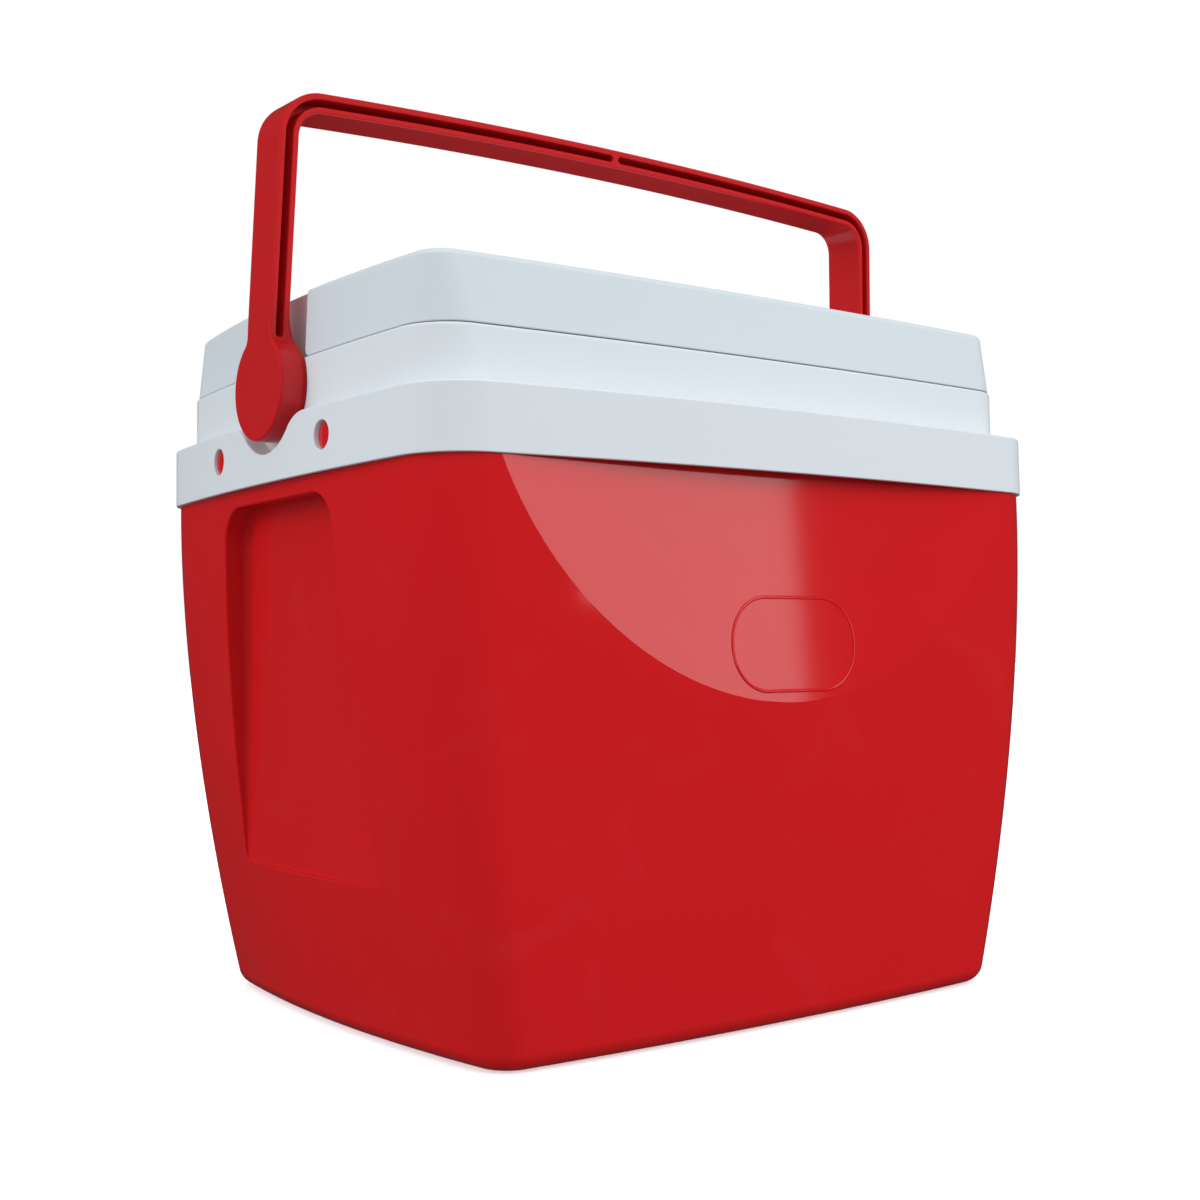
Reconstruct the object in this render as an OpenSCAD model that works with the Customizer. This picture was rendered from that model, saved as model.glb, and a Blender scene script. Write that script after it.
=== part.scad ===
// Portable cool box: foam-filled double-walled tub, push-fit collar, lift-off lid and bail handle.
// Millimetres, +Z up, +X along the length. Origin: centre of the base, on the ground.

/* [Body] */
// Half length of the body under the collar, at the corners
body_half_l = 210.2; // [190:0.1:254]
// Half depth of the body under the collar, at the corners
body_half_d = 159.6; // [146:0.1:192]
// Height of the visible body, up to the collar's lower edge
body_h = 284; // [236:1:341]
// How much narrower each end is at the ground
body_taper_l = 36.5; // [20:0.5:45]
// How much narrower the front and back are at the ground
body_taper_d = 15; // [8:0.5:20]
// How late the ends draw in towards the ground, as a power of the drop
body_taper_curve = 1.7; // [1.4:0.1:2]
// Corner radius at the top of the body
body_corner_r = 33; // [26:1:40]
// Corner radius at the ground
base_corner_r = 21; // [16:1:26]
// Fillet between the walls and the base
base_fillet = 9; // [6:1:12]
// Wall thickness of the outer body
body_wall = 3; // [2.4:0.1:3.6]
// Depth of the hollow inside the ring of feet
foot_h = 1; // [0.6:0.1:1.4]
// Width of the ring of feet
foot_ring = 14; // [10:1:20]

/* [Front panel] */
// Height of the lowest point of the arched flat panel
panel_z = 163; // [130:1:196]
// Outward place of the panel at its lowest point, from the centre plane, less the body half depth
panel_out = 4.7; // [3:0.1:6]
// Lean of the panel inward for each millimetre of height
panel_lean = 0.0364; // [0.02:0.002:0.045]

/* [Hand recesses] */
// Half width of a recess at its top
recess_top_w = 62; // [52:1:70]
// Half width of a recess at its foot
recess_foot_w = 76; // [63:1:84]
// Depth of a recess at its top
recess_depth = 14.6; // [10:0.1:17]
// Distance from the collar down to the top of a recess
recess_drop = 9; // [6:1:14]
// Height of a recess
recess_h = 195; // [165:1:215]
// Lean of the recess floor, degrees
recess_lean = 1.9; // [1:0.1:3]
// Corner radius at the top of a recess
recess_r = 20; // [14:1:26]

/* [Collar] */
// How far the skirt stands out from the body
skirt_out = 2.8; // [2.2:0.1:4]
// Height of the skirt
skirt_h = 33; // [28:1:39]
// Height of the upstand band above the skirt
band_h = 30; // [25:1:36]
// Width of the ledge on each end
ledge_l = 7.5; // [6:0.1:9]
// Width of the ledge along the front and back
ledge_d = 17.5; // [15:0.1:20]
// Corner radius of the band
band_corner_r = 29; // [24:1:34]
// Wall thickness of the collar
collar_wall = 3; // [2.4:0.1:3.6]
// Depth of the collar's inner shelf below the band's top
shelf_drop = 7; // [6:0.5:9]
// Width of the inner shelf
shelf_w = 6; // [5:0.5:7]

/* [Snap pegs] */
// Radius of the snap holes in the skirt
snap_hole_r = 7.4; // [6:0.1:8.9]
// Distance of each snap hole from the middle of its end
snap_y = 61.5; // [56:0.5:73]
// Height of the snap holes above the skirt's lower edge
snap_z = 17.8; // [14:0.1:21]
// Depth of the snap peg's face behind the skirt's face
snap_sunk = 2; // [1.5:0.1:2.5]

/* [Lid] */
// Height of the lid above the band
lid_h = 36; // [30:0.5:43]
// How much the lid's ends lean in
lid_taper_l = 5; // [3:0.5:7]
// How much the lid's front and back lean in
lid_taper_d = 7.3; // [5:0.1:9]
// Corner radius at the lid's lower edge
lid_base_r = 28; // [23:1:33]
// Corner radius at the lid's upper edge
lid_top_r = 15; // [12:1:18]
// Rounding of the lid's upper edge
lid_edge = 3.6; // [3:0.1:5]
// Wall thickness of the lid shells
lid_wall = 2.5; // [2:0.1:3]
// Depth of the plug under the lid
plug_depth = 24; // [20:0.5:28]
// Depth of the sunk panel in the lid's top
sunk_depth = 3; // [2:0.5:4]
// Width of the rim around the sunk panel
sunk_rim = 17; // [14:1:22]
// Depth of the notches in the lid behind the hubs, from the hubs' inner faces
notch_depth = 7; // [6:0.5:9]

/* [Tub] */
// Wall thickness of the inner tub
tub_wall = 2.5; // [2:0.1:3]
// Height of the inner tub's floor
tub_floor = 30; // [26:1:36]
// How much narrower each end of the inner tub is at its floor
tub_taper_l = 39; // [34:1:46]
// How much narrower the front and back of the inner tub are at its floor
tub_taper_d = 12; // [8:1:16]
// Corner radius of the inner tub's mouth
tub_r = 24; // [20:1:28]

/* [Handle] */
// Lean of the upright handle towards the front, degrees
handle_lean = 3; // [0:0.5:5]
// Height of the pivot above the ledge
pivot_up = 17; // [15.5:0.5:19]
// Radius of the hub discs
hub_r = 28.3; // [24:0.1:34]
// Thickness of the hub discs
hub_w = 15; // [13:0.5:17]
// How far the hubs stand out from the skirt's end
hub_out = 4; // [3:0.5:7]
// Thickness of the handle's strap
strap_t = 11; // [9.2:0.1:13.2]
// Width of the grip
grip_w = 29; // [26:0.5:30]
// Width of each arm at its hub
arm_w = 28.5; // [22:0.5:30]
// How much each arm leans in from its hub to its corner
arm_lean = 3.5; // [2:0.1:4]
// Outer radius of the handle's corners
bail_r = 25; // [20:0.5:30]
// Rise of the grip from its corners to its middle
grip_arch = 6; // [4.5:0.1:7]
// Thickness of the web between the two grooves
web_t = 4; // [3:0.5:6]
// Height of the grooves' lower ends above the pivot
groove_foot = 25; // [22:0.5:32]
// Width of the rib across the middle of the grip
rib_w = 4; // [3:0.5:6]
// Radius of the pivot stubs
stub_r = 7; // [6:0.1:8.4]
// Length of the pivot stubs
stub_l = 8.5; // [7:0.1:9]

/* [Fits] */
// Gap between the folding handle and the band
fold_gap = 2; // [1.6:0.1:2.6]
// Gap between pieces that lie face to face
seat_gap = 0.4; // [0.3:0.05:0.6]
// Radial clearance of the pivot stubs
pivot_gap = 0.06; // [0.02:0.01:0.1]
// Clearance of the hubs in their pockets
hub_gap = 2.2; // [1.5:0.1:3]
// Gap between the plug and the inner tub
plug_gap = 5; // [4:0.5:6]
// Clearance of the hubs from the pocket in the skirt
pocket_gap = 6.5; // [5:0.5:8]
// Gap between the hubs and the sides of the notches in the lid
notch_gap = 0.8; // [0.5:0.1:1.5]

/* [Hidden] */
round_fn = 96;
corner_steps = 6;
long_steps = 12;
end_steps = 8;
far = 400;

// How far a cutter runs past the face that it cuts, and how far joined solids run into each other
over = 1;
bite = 0.1;

// Bulges of the straight sides, at the ground and at the collar
body_bulge_d = [6, 8];
body_bulge_l = [9, 4.5];
skirt_bulge_d = 9;
skirt_bulge_l = 6;
band_bulge_d = 5;
band_bulge_l = 4.5;

// Heights
ledge_z = body_h + skirt_h;
band_z = ledge_z + band_h;
lid_z = band_z + seat_gap;
lid_top_z = lid_z + lid_h;
shelf_z = band_z - shelf_drop;
pivot_z = ledge_z + pivot_up;
rim_top_z = ledge_z - collar_wall - seat_gap;
foam_drop = 2;
shoulder_rise = 1.6;
shoulder_z = body_h + shoulder_rise;

// Plan half sizes of the collar, lid and tub
skirt_l = body_half_l + skirt_out;
skirt_d = body_half_d + skirt_out / 2;
skirt_r = body_corner_r + 1;
band_l = skirt_l - ledge_l;
band_d = skirt_d - ledge_d;
lid_bulge_l = [band_bulge_l, 8];
lid_foot_edge = 0.8;
lid_inset_l = 1.5;
lid_inset_d = 0.5;
lid_l = band_l - lid_inset_l;
lid_d = band_d - lid_inset_d;
tub_l = band_l - collar_wall - shelf_w - seat_gap - tub_wall;
tub_d = band_d - collar_wall - shelf_w - seat_gap - tub_wall;
tub_flange_t = 2.5;
tub_chamfer = 8;
plug_l = tub_l - plug_gap;
plug_d = tub_d - plug_gap;
plug_r = tub_r - 2;
tub_bulge_d = 2.5;
tub_bulge_l = 2;
least_r = 5;
foot_r = 10;
foot_in = base_fillet + foot_ring;
sunk_r = 16;
foot_bulge = 4;

// Ends of the collar at mid depth
skirt_end = skirt_l + skirt_bulge_l;
band_end = band_l + band_bulge_l;

// Handle, measured from its pivot
hub_face = skirt_end + hub_out;
hub_back = hub_face - hub_w;
face_gap = 0.8;
pocket_x = hub_back - face_gap;
grip_in = band_d + band_bulge_d + fold_gap;
grip_out = grip_in + strap_t;
arm_top_x = hub_face - arm_lean;
flange_t = strap_t / 3;
arch_r = (arm_top_x * arm_top_x + grip_arch * grip_arch) / (2 * grip_arch);
corner_x = arm_top_x - bail_r;
corner_z = sqrt(pow(arch_r - bail_r, 2) - corner_x * corner_x) - (arch_r - grip_out);
arm_turn = atan(arm_lean / corner_z);
arch_turn = asin(corner_x / (arch_r - bail_r));
notch_half = sqrt(hub_r * hub_r - pow(lid_z - pivot_z, 2)) + notch_gap;
notch_x = hub_back - notch_depth;

// Pocket under each hub
pocket_r = hub_r + pocket_gap;
pocket_flare = 24;
pocket_flare_y = sqrt(pow(pocket_r + pocket_flare, 2) - pow(pivot_up + pocket_flare, 2));
pocket_turn = atan2(pocket_flare_y, pivot_up + pocket_flare);
boss_wall = 5.5;
boss_r = stub_r + boss_wall;
stub_end_gap = 1.2;
boss_room = 6;
boss_end = hub_back - stub_l - stub_end_gap;

function mix(pair, k) = pair[0] + (pair[1] - pair[0]) * k;
function arc(x, y, r, from, to, steps) =
  [for (i = [0:steps]) let (a = from + (to - from) * i / steps) [x + r * cos(a), y + r * sin(a)]];
function long_side(a, b, r, s) =
  [for (i = [1:long_steps - 1]) let (u = 1 - 2 * i / long_steps) [u * (a - r), b + s * (1 - u * u)]];
function end_side(a, b, r, t) =
  [for (i = [1:end_steps - 1]) let (w = 1 - 2 * i / end_steps) [-a - t * (1 - w * w), w * (b - r)]];
function turned(points) = [for (p = points) [-p[0], -p[1]]];

// Half of a rounded rectangle whose sides swell in the middle, then the whole
function half_outline(a, b, r, s, t) = concat(
  arc(a - r, b - r, r, 0, 90, corner_steps),
  long_side(a, b, r, s),
  arc(r - a, b - r, r, 90, 180, corner_steps),
  end_side(a, b, r, t)
);
function outline(a, b, r, s, t) =
  concat(half_outline(a, b, r, s, t), turned(half_outline(a, b, r, s, t)));

// The body's outline at height z, moved in by d
function drop(z) = max(0, 1 - z / body_h);
function fillet_in(z) =
  z >= base_fillet ? 0 : base_fillet - sqrt(base_fillet * base_fillet - pow(base_fillet - z, 2));
function panel_y(z) = body_half_d + panel_out - panel_lean * (z - panel_z);
function body_ring(z, d) =
  let (
    k = 1 - drop(z),
    e = d + fillet_in(z - d),
    a = body_half_l - body_taper_l * pow(drop(z), body_taper_curve) - e,
    b = body_half_d - body_taper_d * pow(drop(z), 2) - e,
    r = max(mix([base_corner_r, body_corner_r], k) - e, least_r)
  )
  [for (p = outline(a, b, r, mix(body_bulge_d, k), mix(body_bulge_l, k)))
    [p[0], sign(p[1]) * min(abs(p[1]), panel_y(z) - d), z]];
function body_levels(d, top) = concat(
  [for (f = [0, 0.12, 0.35, 0.65, 1]) d + f * base_fillet],
  [for (f = [1:9]) d + base_fillet + (top - d - base_fillet) * f / 9]
);
function flat_ring(points, z) = [for (p = points) [p[0], p[1], z]];

// Solid through a list of rings that have the same number of points
module loft(rings) {
  n = len(rings[0]);
  m = len(rings);
  points = [for (ring = rings) for (p = ring) p];
  walls = [
    for (j = [0:m - 2]) for (i = [0:n - 1]) let (k = (i + 1) % n)
      [j * n + i, (j + 1) * n + i, (j + 1) * n + k, j * n + k]
  ];
  bottom = [for (i = [0:n - 1]) i];
  top = [for (i = [0:n - 1]) m * n - 1 - i];
  polyhedron(points = points, faces = concat([bottom], walls, [top]), convexity = 6);
}

// A flat outline in Y and Z, pushed from x0 to x1
module push_x(x0, x1) {
  translate([x0, 0, 0])
    rotate([90, 0, 90])
      linear_extrude(x1 - x0)
        children();
}

module both_ends() {
  children();
  mirror([1, 0, 0])
    children();
}

module rod_x(x0, x1, y, z, r) {
  translate([x0, y, z])
    rotate([0, 90, 0])
      cylinder(h = x1 - x0, r = r, $fn = round_fn);
}

module plate(a, b, r, s, t, z0, z1) {
  translate([0, 0, z0])
    linear_extrude(z1 - z0)
      polygon(outline(a, b, r, s, t));
}

// Ring between an outline and the same outline moved in by wall
module wall_ring(a, b, r, s, t, wall, z0, z1) {
  difference() {
    plate(a, b, r, s, t, z0, z1);
    plate(a - wall, b - wall, r - wall, s, t, z0 - 1, z1 + 1);
  }
}

// Space of the hand recesses, grown by w on every side
module recess_space(w) {
  top_z = body_h - recess_drop + w;
  foot_z = body_h - recess_drop - recess_h - w;
  half_top = recess_top_w + w;
  half_foot = recess_foot_w + w;
  r = recess_r + w;
  both_ends()
    translate([body_half_l + body_bulge_l[1] - recess_depth - w, 0, top_z])
      rotate([0, recess_lean, 0])
        translate([0, 0, -top_z])
          push_x(0, 60)
            polygon(concat(
              arc(half_top - r, top_z - r, r, 0, 90, corner_steps),
              arc(r - half_top, top_z - r, r, 90, 180, corner_steps),
              [[-half_foot, foot_z], [half_foot, foot_z]]
            ));
}

// Space that the collar's hub housings take out of the pieces behind them
module housing_space(gap) {
  both_ends()
    rod_x(pocket_x - collar_wall - gap, far, 0, pivot_z, pocket_r + collar_wall + gap);
}

// Plate of the body's rim inside the skirt, moved in by d
module rim_plate(d, z0, z1) {
  e = collar_wall + seat_gap + d;
  plate(
    skirt_l - e, skirt_d - e, skirt_r - e, skirt_bulge_d, skirt_bulge_l, z0, z1
  );
}

// The body's solid shape moved in by d: the tapered walls, then the part inside the skirt
module body_shape(d, shoulder_z, top) {
  loft([for (z = body_levels(d, body_h - seat_gap)) body_ring(z, d)]);
  intersection() {
    loft([for (z = body_levels(d, shoulder_z)) body_ring(z, d)]);
    rim_plate(d, body_h - 2 * base_fillet, shoulder_z);
  }
  if (top > shoulder_z)
    rim_plate(d, shoulder_z - bite, top);
}

module snap_pegs() {
  skirt_face = skirt_end - skirt_bulge_l * pow(snap_y / (skirt_d - body_corner_r), 2);
  peg_root = skirt_face - collar_wall - seat_gap - body_wall / 2;
  both_ends()
    for (y = [-snap_y, snap_y])
      rod_x(peg_root, skirt_face - snap_sunk, y, body_h + snap_z, snap_hole_r - seat_gap);
}

module outer_body() {
  color("firebrick")
    difference() {
      union() {
        difference() {
          body_shape(0, shoulder_z, rim_top_z);
          difference() {
            body_shape(body_wall, shoulder_z + body_wall, rim_top_z + over);
            recess_space(body_wall);
          }
          recess_space(0);
        }
        snap_pegs();
      }
      housing_space(seat_gap);
      // hollow inside the ring of feet
      plate(
        body_half_l - body_taper_l - foot_in, body_half_d - body_taper_d - foot_in,
        foot_r, foot_bulge, foot_bulge, -over, foot_h
      );
    }
}

module body_insulation() {
  d = body_wall + seat_gap;
  top = rim_top_z - foam_drop;
  color("whitesmoke")
    difference() {
      body_shape(d, top, top);
      tub_solid(tub_wall + seat_gap, top + over);
      recess_space(d);
      housing_space(2 * seat_gap);
    }
}

// Tapered space of the inner tub, grown by w, open at height top
function tub_ring(w, z) =
  let (m = (shelf_z - z) / (shelf_z - tub_floor))
  flat_ring(
    outline(
      tub_l - tub_taper_l * m + w, tub_d - tub_taper_d * m + w, tub_r + w, tub_bulge_d, tub_bulge_l
    ), z
  );
module tub_solid(w, top) {
  foot_z = tub_floor - w;
  loft([tub_ring(w - tub_chamfer, foot_z), tub_ring(w, foot_z + tub_chamfer), tub_ring(w, top)]);
}

module inner_tub() {
  flange_l = band_l - collar_wall - seat_gap;
  flange_d = band_d - collar_wall - seat_gap;
  color("white")
    difference() {
      union() {
        tub_solid(tub_wall, shelf_z + tub_flange_t / 2);
        plate(
          flange_l, flange_d, band_corner_r - collar_wall - seat_gap, band_bulge_d, band_bulge_l,
          shelf_z + bite, shelf_z + tub_flange_t
        );
      }
      tub_solid(0, shelf_z + tub_flange_t + over);
      // room for the boss behind each hub pocket
      both_ends()
        rod_x(boss_end - seat_gap, far, 0, pivot_z, boss_r + boss_room);
    }
}

// Outline of the pocket in the skirt, a round dip with flared shoulders
module pocket_shape() {
  shoulder = 90 - pocket_turn;
  translate([0, pivot_z])
    polygon(concat(
      arc(pocket_flare_y, -pivot_up - pocket_flare, pocket_flare, 90, 90 + pocket_turn, 8),
      arc(0, 0, pocket_r, -shoulder, shoulder - 180, 24),
      arc(-pocket_flare_y, -pivot_up - pocket_flare, pocket_flare, 90 - pocket_turn, 90, 8)
    ));
}

module collar() {
  color("white")
    difference() {
      union() {
        // skirt
        wall_ring(
          skirt_l, skirt_d, skirt_r, skirt_bulge_d, skirt_bulge_l, collar_wall, body_h, ledge_z
        );
        // ledge
        difference() {
          plate(
            skirt_l, skirt_d, skirt_r, skirt_bulge_d, skirt_bulge_l, ledge_z - collar_wall, ledge_z
          );
          plate(
            band_l - collar_wall, band_d - collar_wall, band_corner_r - collar_wall,
            band_bulge_d, band_bulge_l, body_h, ledge_z + over
          );
        }
        // upstand band
        wall_ring(
          band_l, band_d, band_corner_r, band_bulge_d, band_bulge_l, collar_wall,
          ledge_z - collar_wall, band_z
        );
        // shelf that carries the inner tub
        difference() {
          plate(
            band_l - over, band_d - over, band_corner_r - over, band_bulge_d, band_bulge_l,
            shelf_z - collar_wall, shelf_z
          );
          plate(
            tub_l + tub_wall + seat_gap, tub_d + tub_wall + seat_gap, tub_r + tub_wall,
            tub_bulge_d, tub_bulge_l, ledge_z, shelf_z + over
          );
        }
        // housings behind the hubs, below the ledge, and the walls above it
        both_ends()
          intersection() {
            rod_x(pocket_x - collar_wall, skirt_end - collar_wall / 2, 0, pivot_z, pocket_r + collar_wall);
            translate([0, -far, body_h + over])
              cube([far, 2 * far, skirt_h - 2 * over]);
          }
        both_ends()
          intersection() {
            rod_x(pocket_x - collar_wall, band_end - collar_wall / 2, 0, pivot_z, pocket_r + collar_wall);
            translate([0, -far, ledge_z - collar_wall])
              cube([far, 2 * far, band_h]);
          }
        // bearing bosses
        both_ends()
          rod_x(boss_end, pocket_x, 0, pivot_z, boss_r);
      }
      // pockets in the skirt
      both_ends()
        push_x(pocket_x, far)
          pocket_shape();
      // round pockets in the band
      both_ends()
        intersection() {
          rod_x(pocket_x, far, 0, pivot_z, hub_r + hub_gap);
          translate([0, -far, ledge_z - over])
            cube([far, 2 * far, far]);
        }
      // pivot bores
      both_ends()
        rod_x(boss_end - over, far, 0, pivot_z, stub_r + pivot_gap);
      // snap holes
      both_ends()
        for (y = [-snap_y, snap_y])
          rod_x(skirt_l - 2 * collar_wall, far, y, body_h + snap_z, snap_hole_r);
      // keep the housings out of the inner tub's flange
      plate(
        band_l - collar_wall, band_d - collar_wall, band_corner_r - collar_wall,
        band_bulge_d, band_bulge_l, shelf_z, band_z + over
      );
    }
}

// The lid's outline at a share k of its height, moved in by d
function lid_ring(k, z, d) =
  let (r = max(mix([lid_base_r, lid_top_r], k) - d, least_r))
  flat_ring(
    outline(
      lid_l - lid_taper_l * k - d, lid_d - lid_taper_d * k - d, r, band_bulge_d, mix(lid_bulge_l, k)
    ), z
  );

module lid_notches() {
  both_ends()
    translate([notch_x, -notch_half, lid_z - over])
      cube([far, 2 * notch_half, lid_h + 2 * over]);
}

module lid_cover() {
  edge_z = lid_top_z - lid_edge;
  inner_top = lid_top_z - sunk_depth - lid_wall;
  color("white")
    difference() {
      loft(concat(
        [lid_ring(0, lid_z, lid_foot_edge), lid_ring(0, lid_z + lid_foot_edge, 0)],
        [lid_ring(0.5, (lid_z + edge_z) / 2, 0)],
        [for (a = [0:30:90]) lid_ring(1, edge_z + lid_edge * sin(a), lid_edge * (1 - cos(a)))]
      ));
      difference() {
        loft([lid_ring(0, lid_z - over, lid_wall), lid_ring(1, inner_top, lid_wall)]);
        both_ends()
          translate([notch_x - lid_wall, -notch_half - lid_wall, lid_z - 2 * over])
            cube([far, 2 * (notch_half + lid_wall), lid_h + 4 * over]);
      }
      lid_notches();
      // sunk panel in the top
      plate(
        lid_l - lid_taper_l - sunk_rim, lid_d - lid_taper_d - sunk_rim, sunk_r,
        band_bulge_d, band_bulge_l, lid_top_z - sunk_depth, lid_top_z + over
      );
    }
}

module lid_liner() {
  panel_top = lid_z + lid_wall;
  color("white")
    difference() {
      union() {
        // panel that closes the lid's underside
        plate(
          lid_l - lid_wall - 2 * seat_gap, lid_d - lid_wall - 2 * seat_gap, lid_base_r - lid_wall,
          band_bulge_d - 2 * lid_inset_d, band_bulge_l - 2 * lid_inset_d, lid_z, panel_top
        );
        plate(plug_l, plug_d, plug_r, tub_bulge_d, tub_bulge_l, lid_z - plug_depth, panel_top);
      }
      plate(
        plug_l - lid_wall, plug_d - lid_wall, plug_r - lid_wall, tub_bulge_d, tub_bulge_l,
        lid_z - plug_depth + lid_wall, panel_top + over
      );
      both_ends()
        translate([notch_x - lid_wall - seat_gap, -notch_half - lid_wall - seat_gap, lid_z - over])
          cube([far, 2 * (notch_half + lid_wall + seat_gap), lid_wall + 2 * over]);
    }
}

module lid_insulation() {
  slab_top = lid_top_z - sunk_depth - lid_wall - 2 * seat_gap;
  inset = lid_wall + seat_gap;
  color("whitesmoke")
    plate(
      plug_l - inset, plug_d - inset, plug_r - inset, tub_bulge_d, tub_bulge_l,
      lid_z - plug_depth + inset, slab_top
    );
}

// Half of the bail's line at depth d under its outer face, in X and height above the pivot
function bail_half(d) = concat(
  [[hub_face - d, 0]],
  arc(corner_x, corner_z, bail_r - d, arm_turn, 90 - arch_turn, 10),
  [for (i = [1:6]) let (a = arch_turn * (1 - i / 6))
    [(arch_r - d) * sin(a), (arch_r - d) * cos(a) - (arch_r - grip_out)]]
);
function mirrored(points) = [for (i = [len(points) - 2:-1:0]) [-points[i][0], points[i][1]]];
function bail_line(d) = concat(bail_half(d), mirrored(bail_half(d)));

module strap_shape(d0, d1) {
  difference() {
    polygon(bail_line(d0));
    polygon(concat([[hub_face - d1, -over]], bail_line(d1), [[d1 - hub_face, -over]]));
  }
}

module upright(y0, y1) {
  translate([0, y1, pivot_z])
    rotate([90, 0, 0])
      linear_extrude(y1 - y0)
        children();
}

module groove_shape() {
  difference() {
    strap_shape(flange_t, 2 * flange_t);
    // solid feet of the arms, and the rib in the middle of the grip
    translate([-far, -over])
      square([2 * far, groove_foot + over]);
    translate([-rib_w / 2, 0])
      square([rib_w, far]);
  }
}

// The handle standing straight up
module straight_handle() {
  groove_depth = (grip_w - web_t) / 2;
  union() {
    difference() {
      intersection() {
        upright(-grip_w / 2, grip_w / 2)
          strap_shape(0, strap_t);
        push_x(-far, far)
          polygon([
            [-arm_w / 2, pivot_z], [arm_w / 2, pivot_z],
            [grip_w / 2, pivot_z + corner_z], [grip_w / 2, pivot_z + far],
            [-grip_w / 2, pivot_z + far], [-grip_w / 2, pivot_z + corner_z]
          ]);
      }
      upright(-grip_w, -grip_w / 2 + groove_depth)
        groove_shape();
      upright(grip_w / 2 - groove_depth, grip_w)
        groove_shape();
    }
    both_ends()
      rod_x(hub_back, hub_face, 0, pivot_z, hub_r);
    both_ends()
      rod_x(hub_back - stub_l, hub_back + over, 0, pivot_z, stub_r);
  }
}

module handle() {
  color("firebrick")
    translate([0, 0, pivot_z])
      rotate([handle_lean, 0, 0])
        translate([0, 0, -pivot_z])
          straight_handle();
}

outer_body();
body_insulation();
inner_tub();
collar();
lid_cover();
lid_insulation();
lid_liner();
handle();
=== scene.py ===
"""Looks of the portable cool box: fine shells for every visible piece, materials, light and camera."""

import math

import bmesh
import bpy
import numpy as np
from mathutils import Matrix

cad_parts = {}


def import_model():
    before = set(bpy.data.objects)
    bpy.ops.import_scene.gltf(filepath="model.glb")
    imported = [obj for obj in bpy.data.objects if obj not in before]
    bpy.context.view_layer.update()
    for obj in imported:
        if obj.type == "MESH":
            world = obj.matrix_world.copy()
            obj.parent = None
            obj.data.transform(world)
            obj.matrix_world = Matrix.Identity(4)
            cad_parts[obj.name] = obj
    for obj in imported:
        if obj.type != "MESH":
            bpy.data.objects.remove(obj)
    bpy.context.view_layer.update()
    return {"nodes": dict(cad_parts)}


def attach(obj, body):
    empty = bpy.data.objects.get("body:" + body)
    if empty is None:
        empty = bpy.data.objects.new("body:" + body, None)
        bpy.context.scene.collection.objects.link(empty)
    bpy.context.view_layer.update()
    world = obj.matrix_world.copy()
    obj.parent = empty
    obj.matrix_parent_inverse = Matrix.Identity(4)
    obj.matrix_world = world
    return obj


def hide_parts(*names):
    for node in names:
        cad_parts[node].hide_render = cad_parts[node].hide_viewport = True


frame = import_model()

# ---------------------------------------------------------------- sizes, in millimetres, as in the CAD
BODY_H = 284.0
LEDGE_Z = 317.0
BAND_Z = 347.0
SHELF_Z = 340.0
PIVOT_Z = 334.0
LID_Z = 347.4
LID_TOP = 383.4
RIM_TOP = 313.6
ROUND = 0.92  # the smooth corners cut in a little less than true quarter circles

SKIRT = (213.0, 161.0, 34.0 * ROUND, 9.0, 6.0)
BAND = (205.5, 143.5, 29.0 * ROUND, 5.0, 4.5)
TUB = (193.6, 131.6, 24.0 * ROUND, 2.5, 2.0)
POCKET_X = 207.2
HUB_R = 28.3
SNAP_Y = 61.5
SNAP_Z = 301.8
SNAP_R = 7.4  # holes of the collar
PEG_R = 7.0
BORE_R = 7.06
STUB_R = 7.0
HOUSING_R = 37.8  # inward bulge of the collar behind each hub
HOUSING_X = 204.2

# An outline's quarter: the swelling end, then the corner, then the swelling long side.
END_SHARE = 0.3
CORNER_SHARE = 0.52

FAR_X = 260  # where cutters along X end, beyond every face
SHARP = 0.01  # rounding of a rod whose rim isn't seen
LIP_STEPS = [0, 18, 36, 54, 68, 80]  # degrees round a cutter's soft lip
LIP_END = math.radians(80)
LIP_LIFT = 0.02  # a cutter's lip ends just above the face, so that the cut is clean


# ---------------------------------------------------------------- meshes whose corners carry exact normals
def unit(v):
    return v / np.maximum(np.linalg.norm(v, axis=-1, keepdims=True), 1e-12)


def spread(a):
    return np.array([math.radians(x) for x in a])


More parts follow.
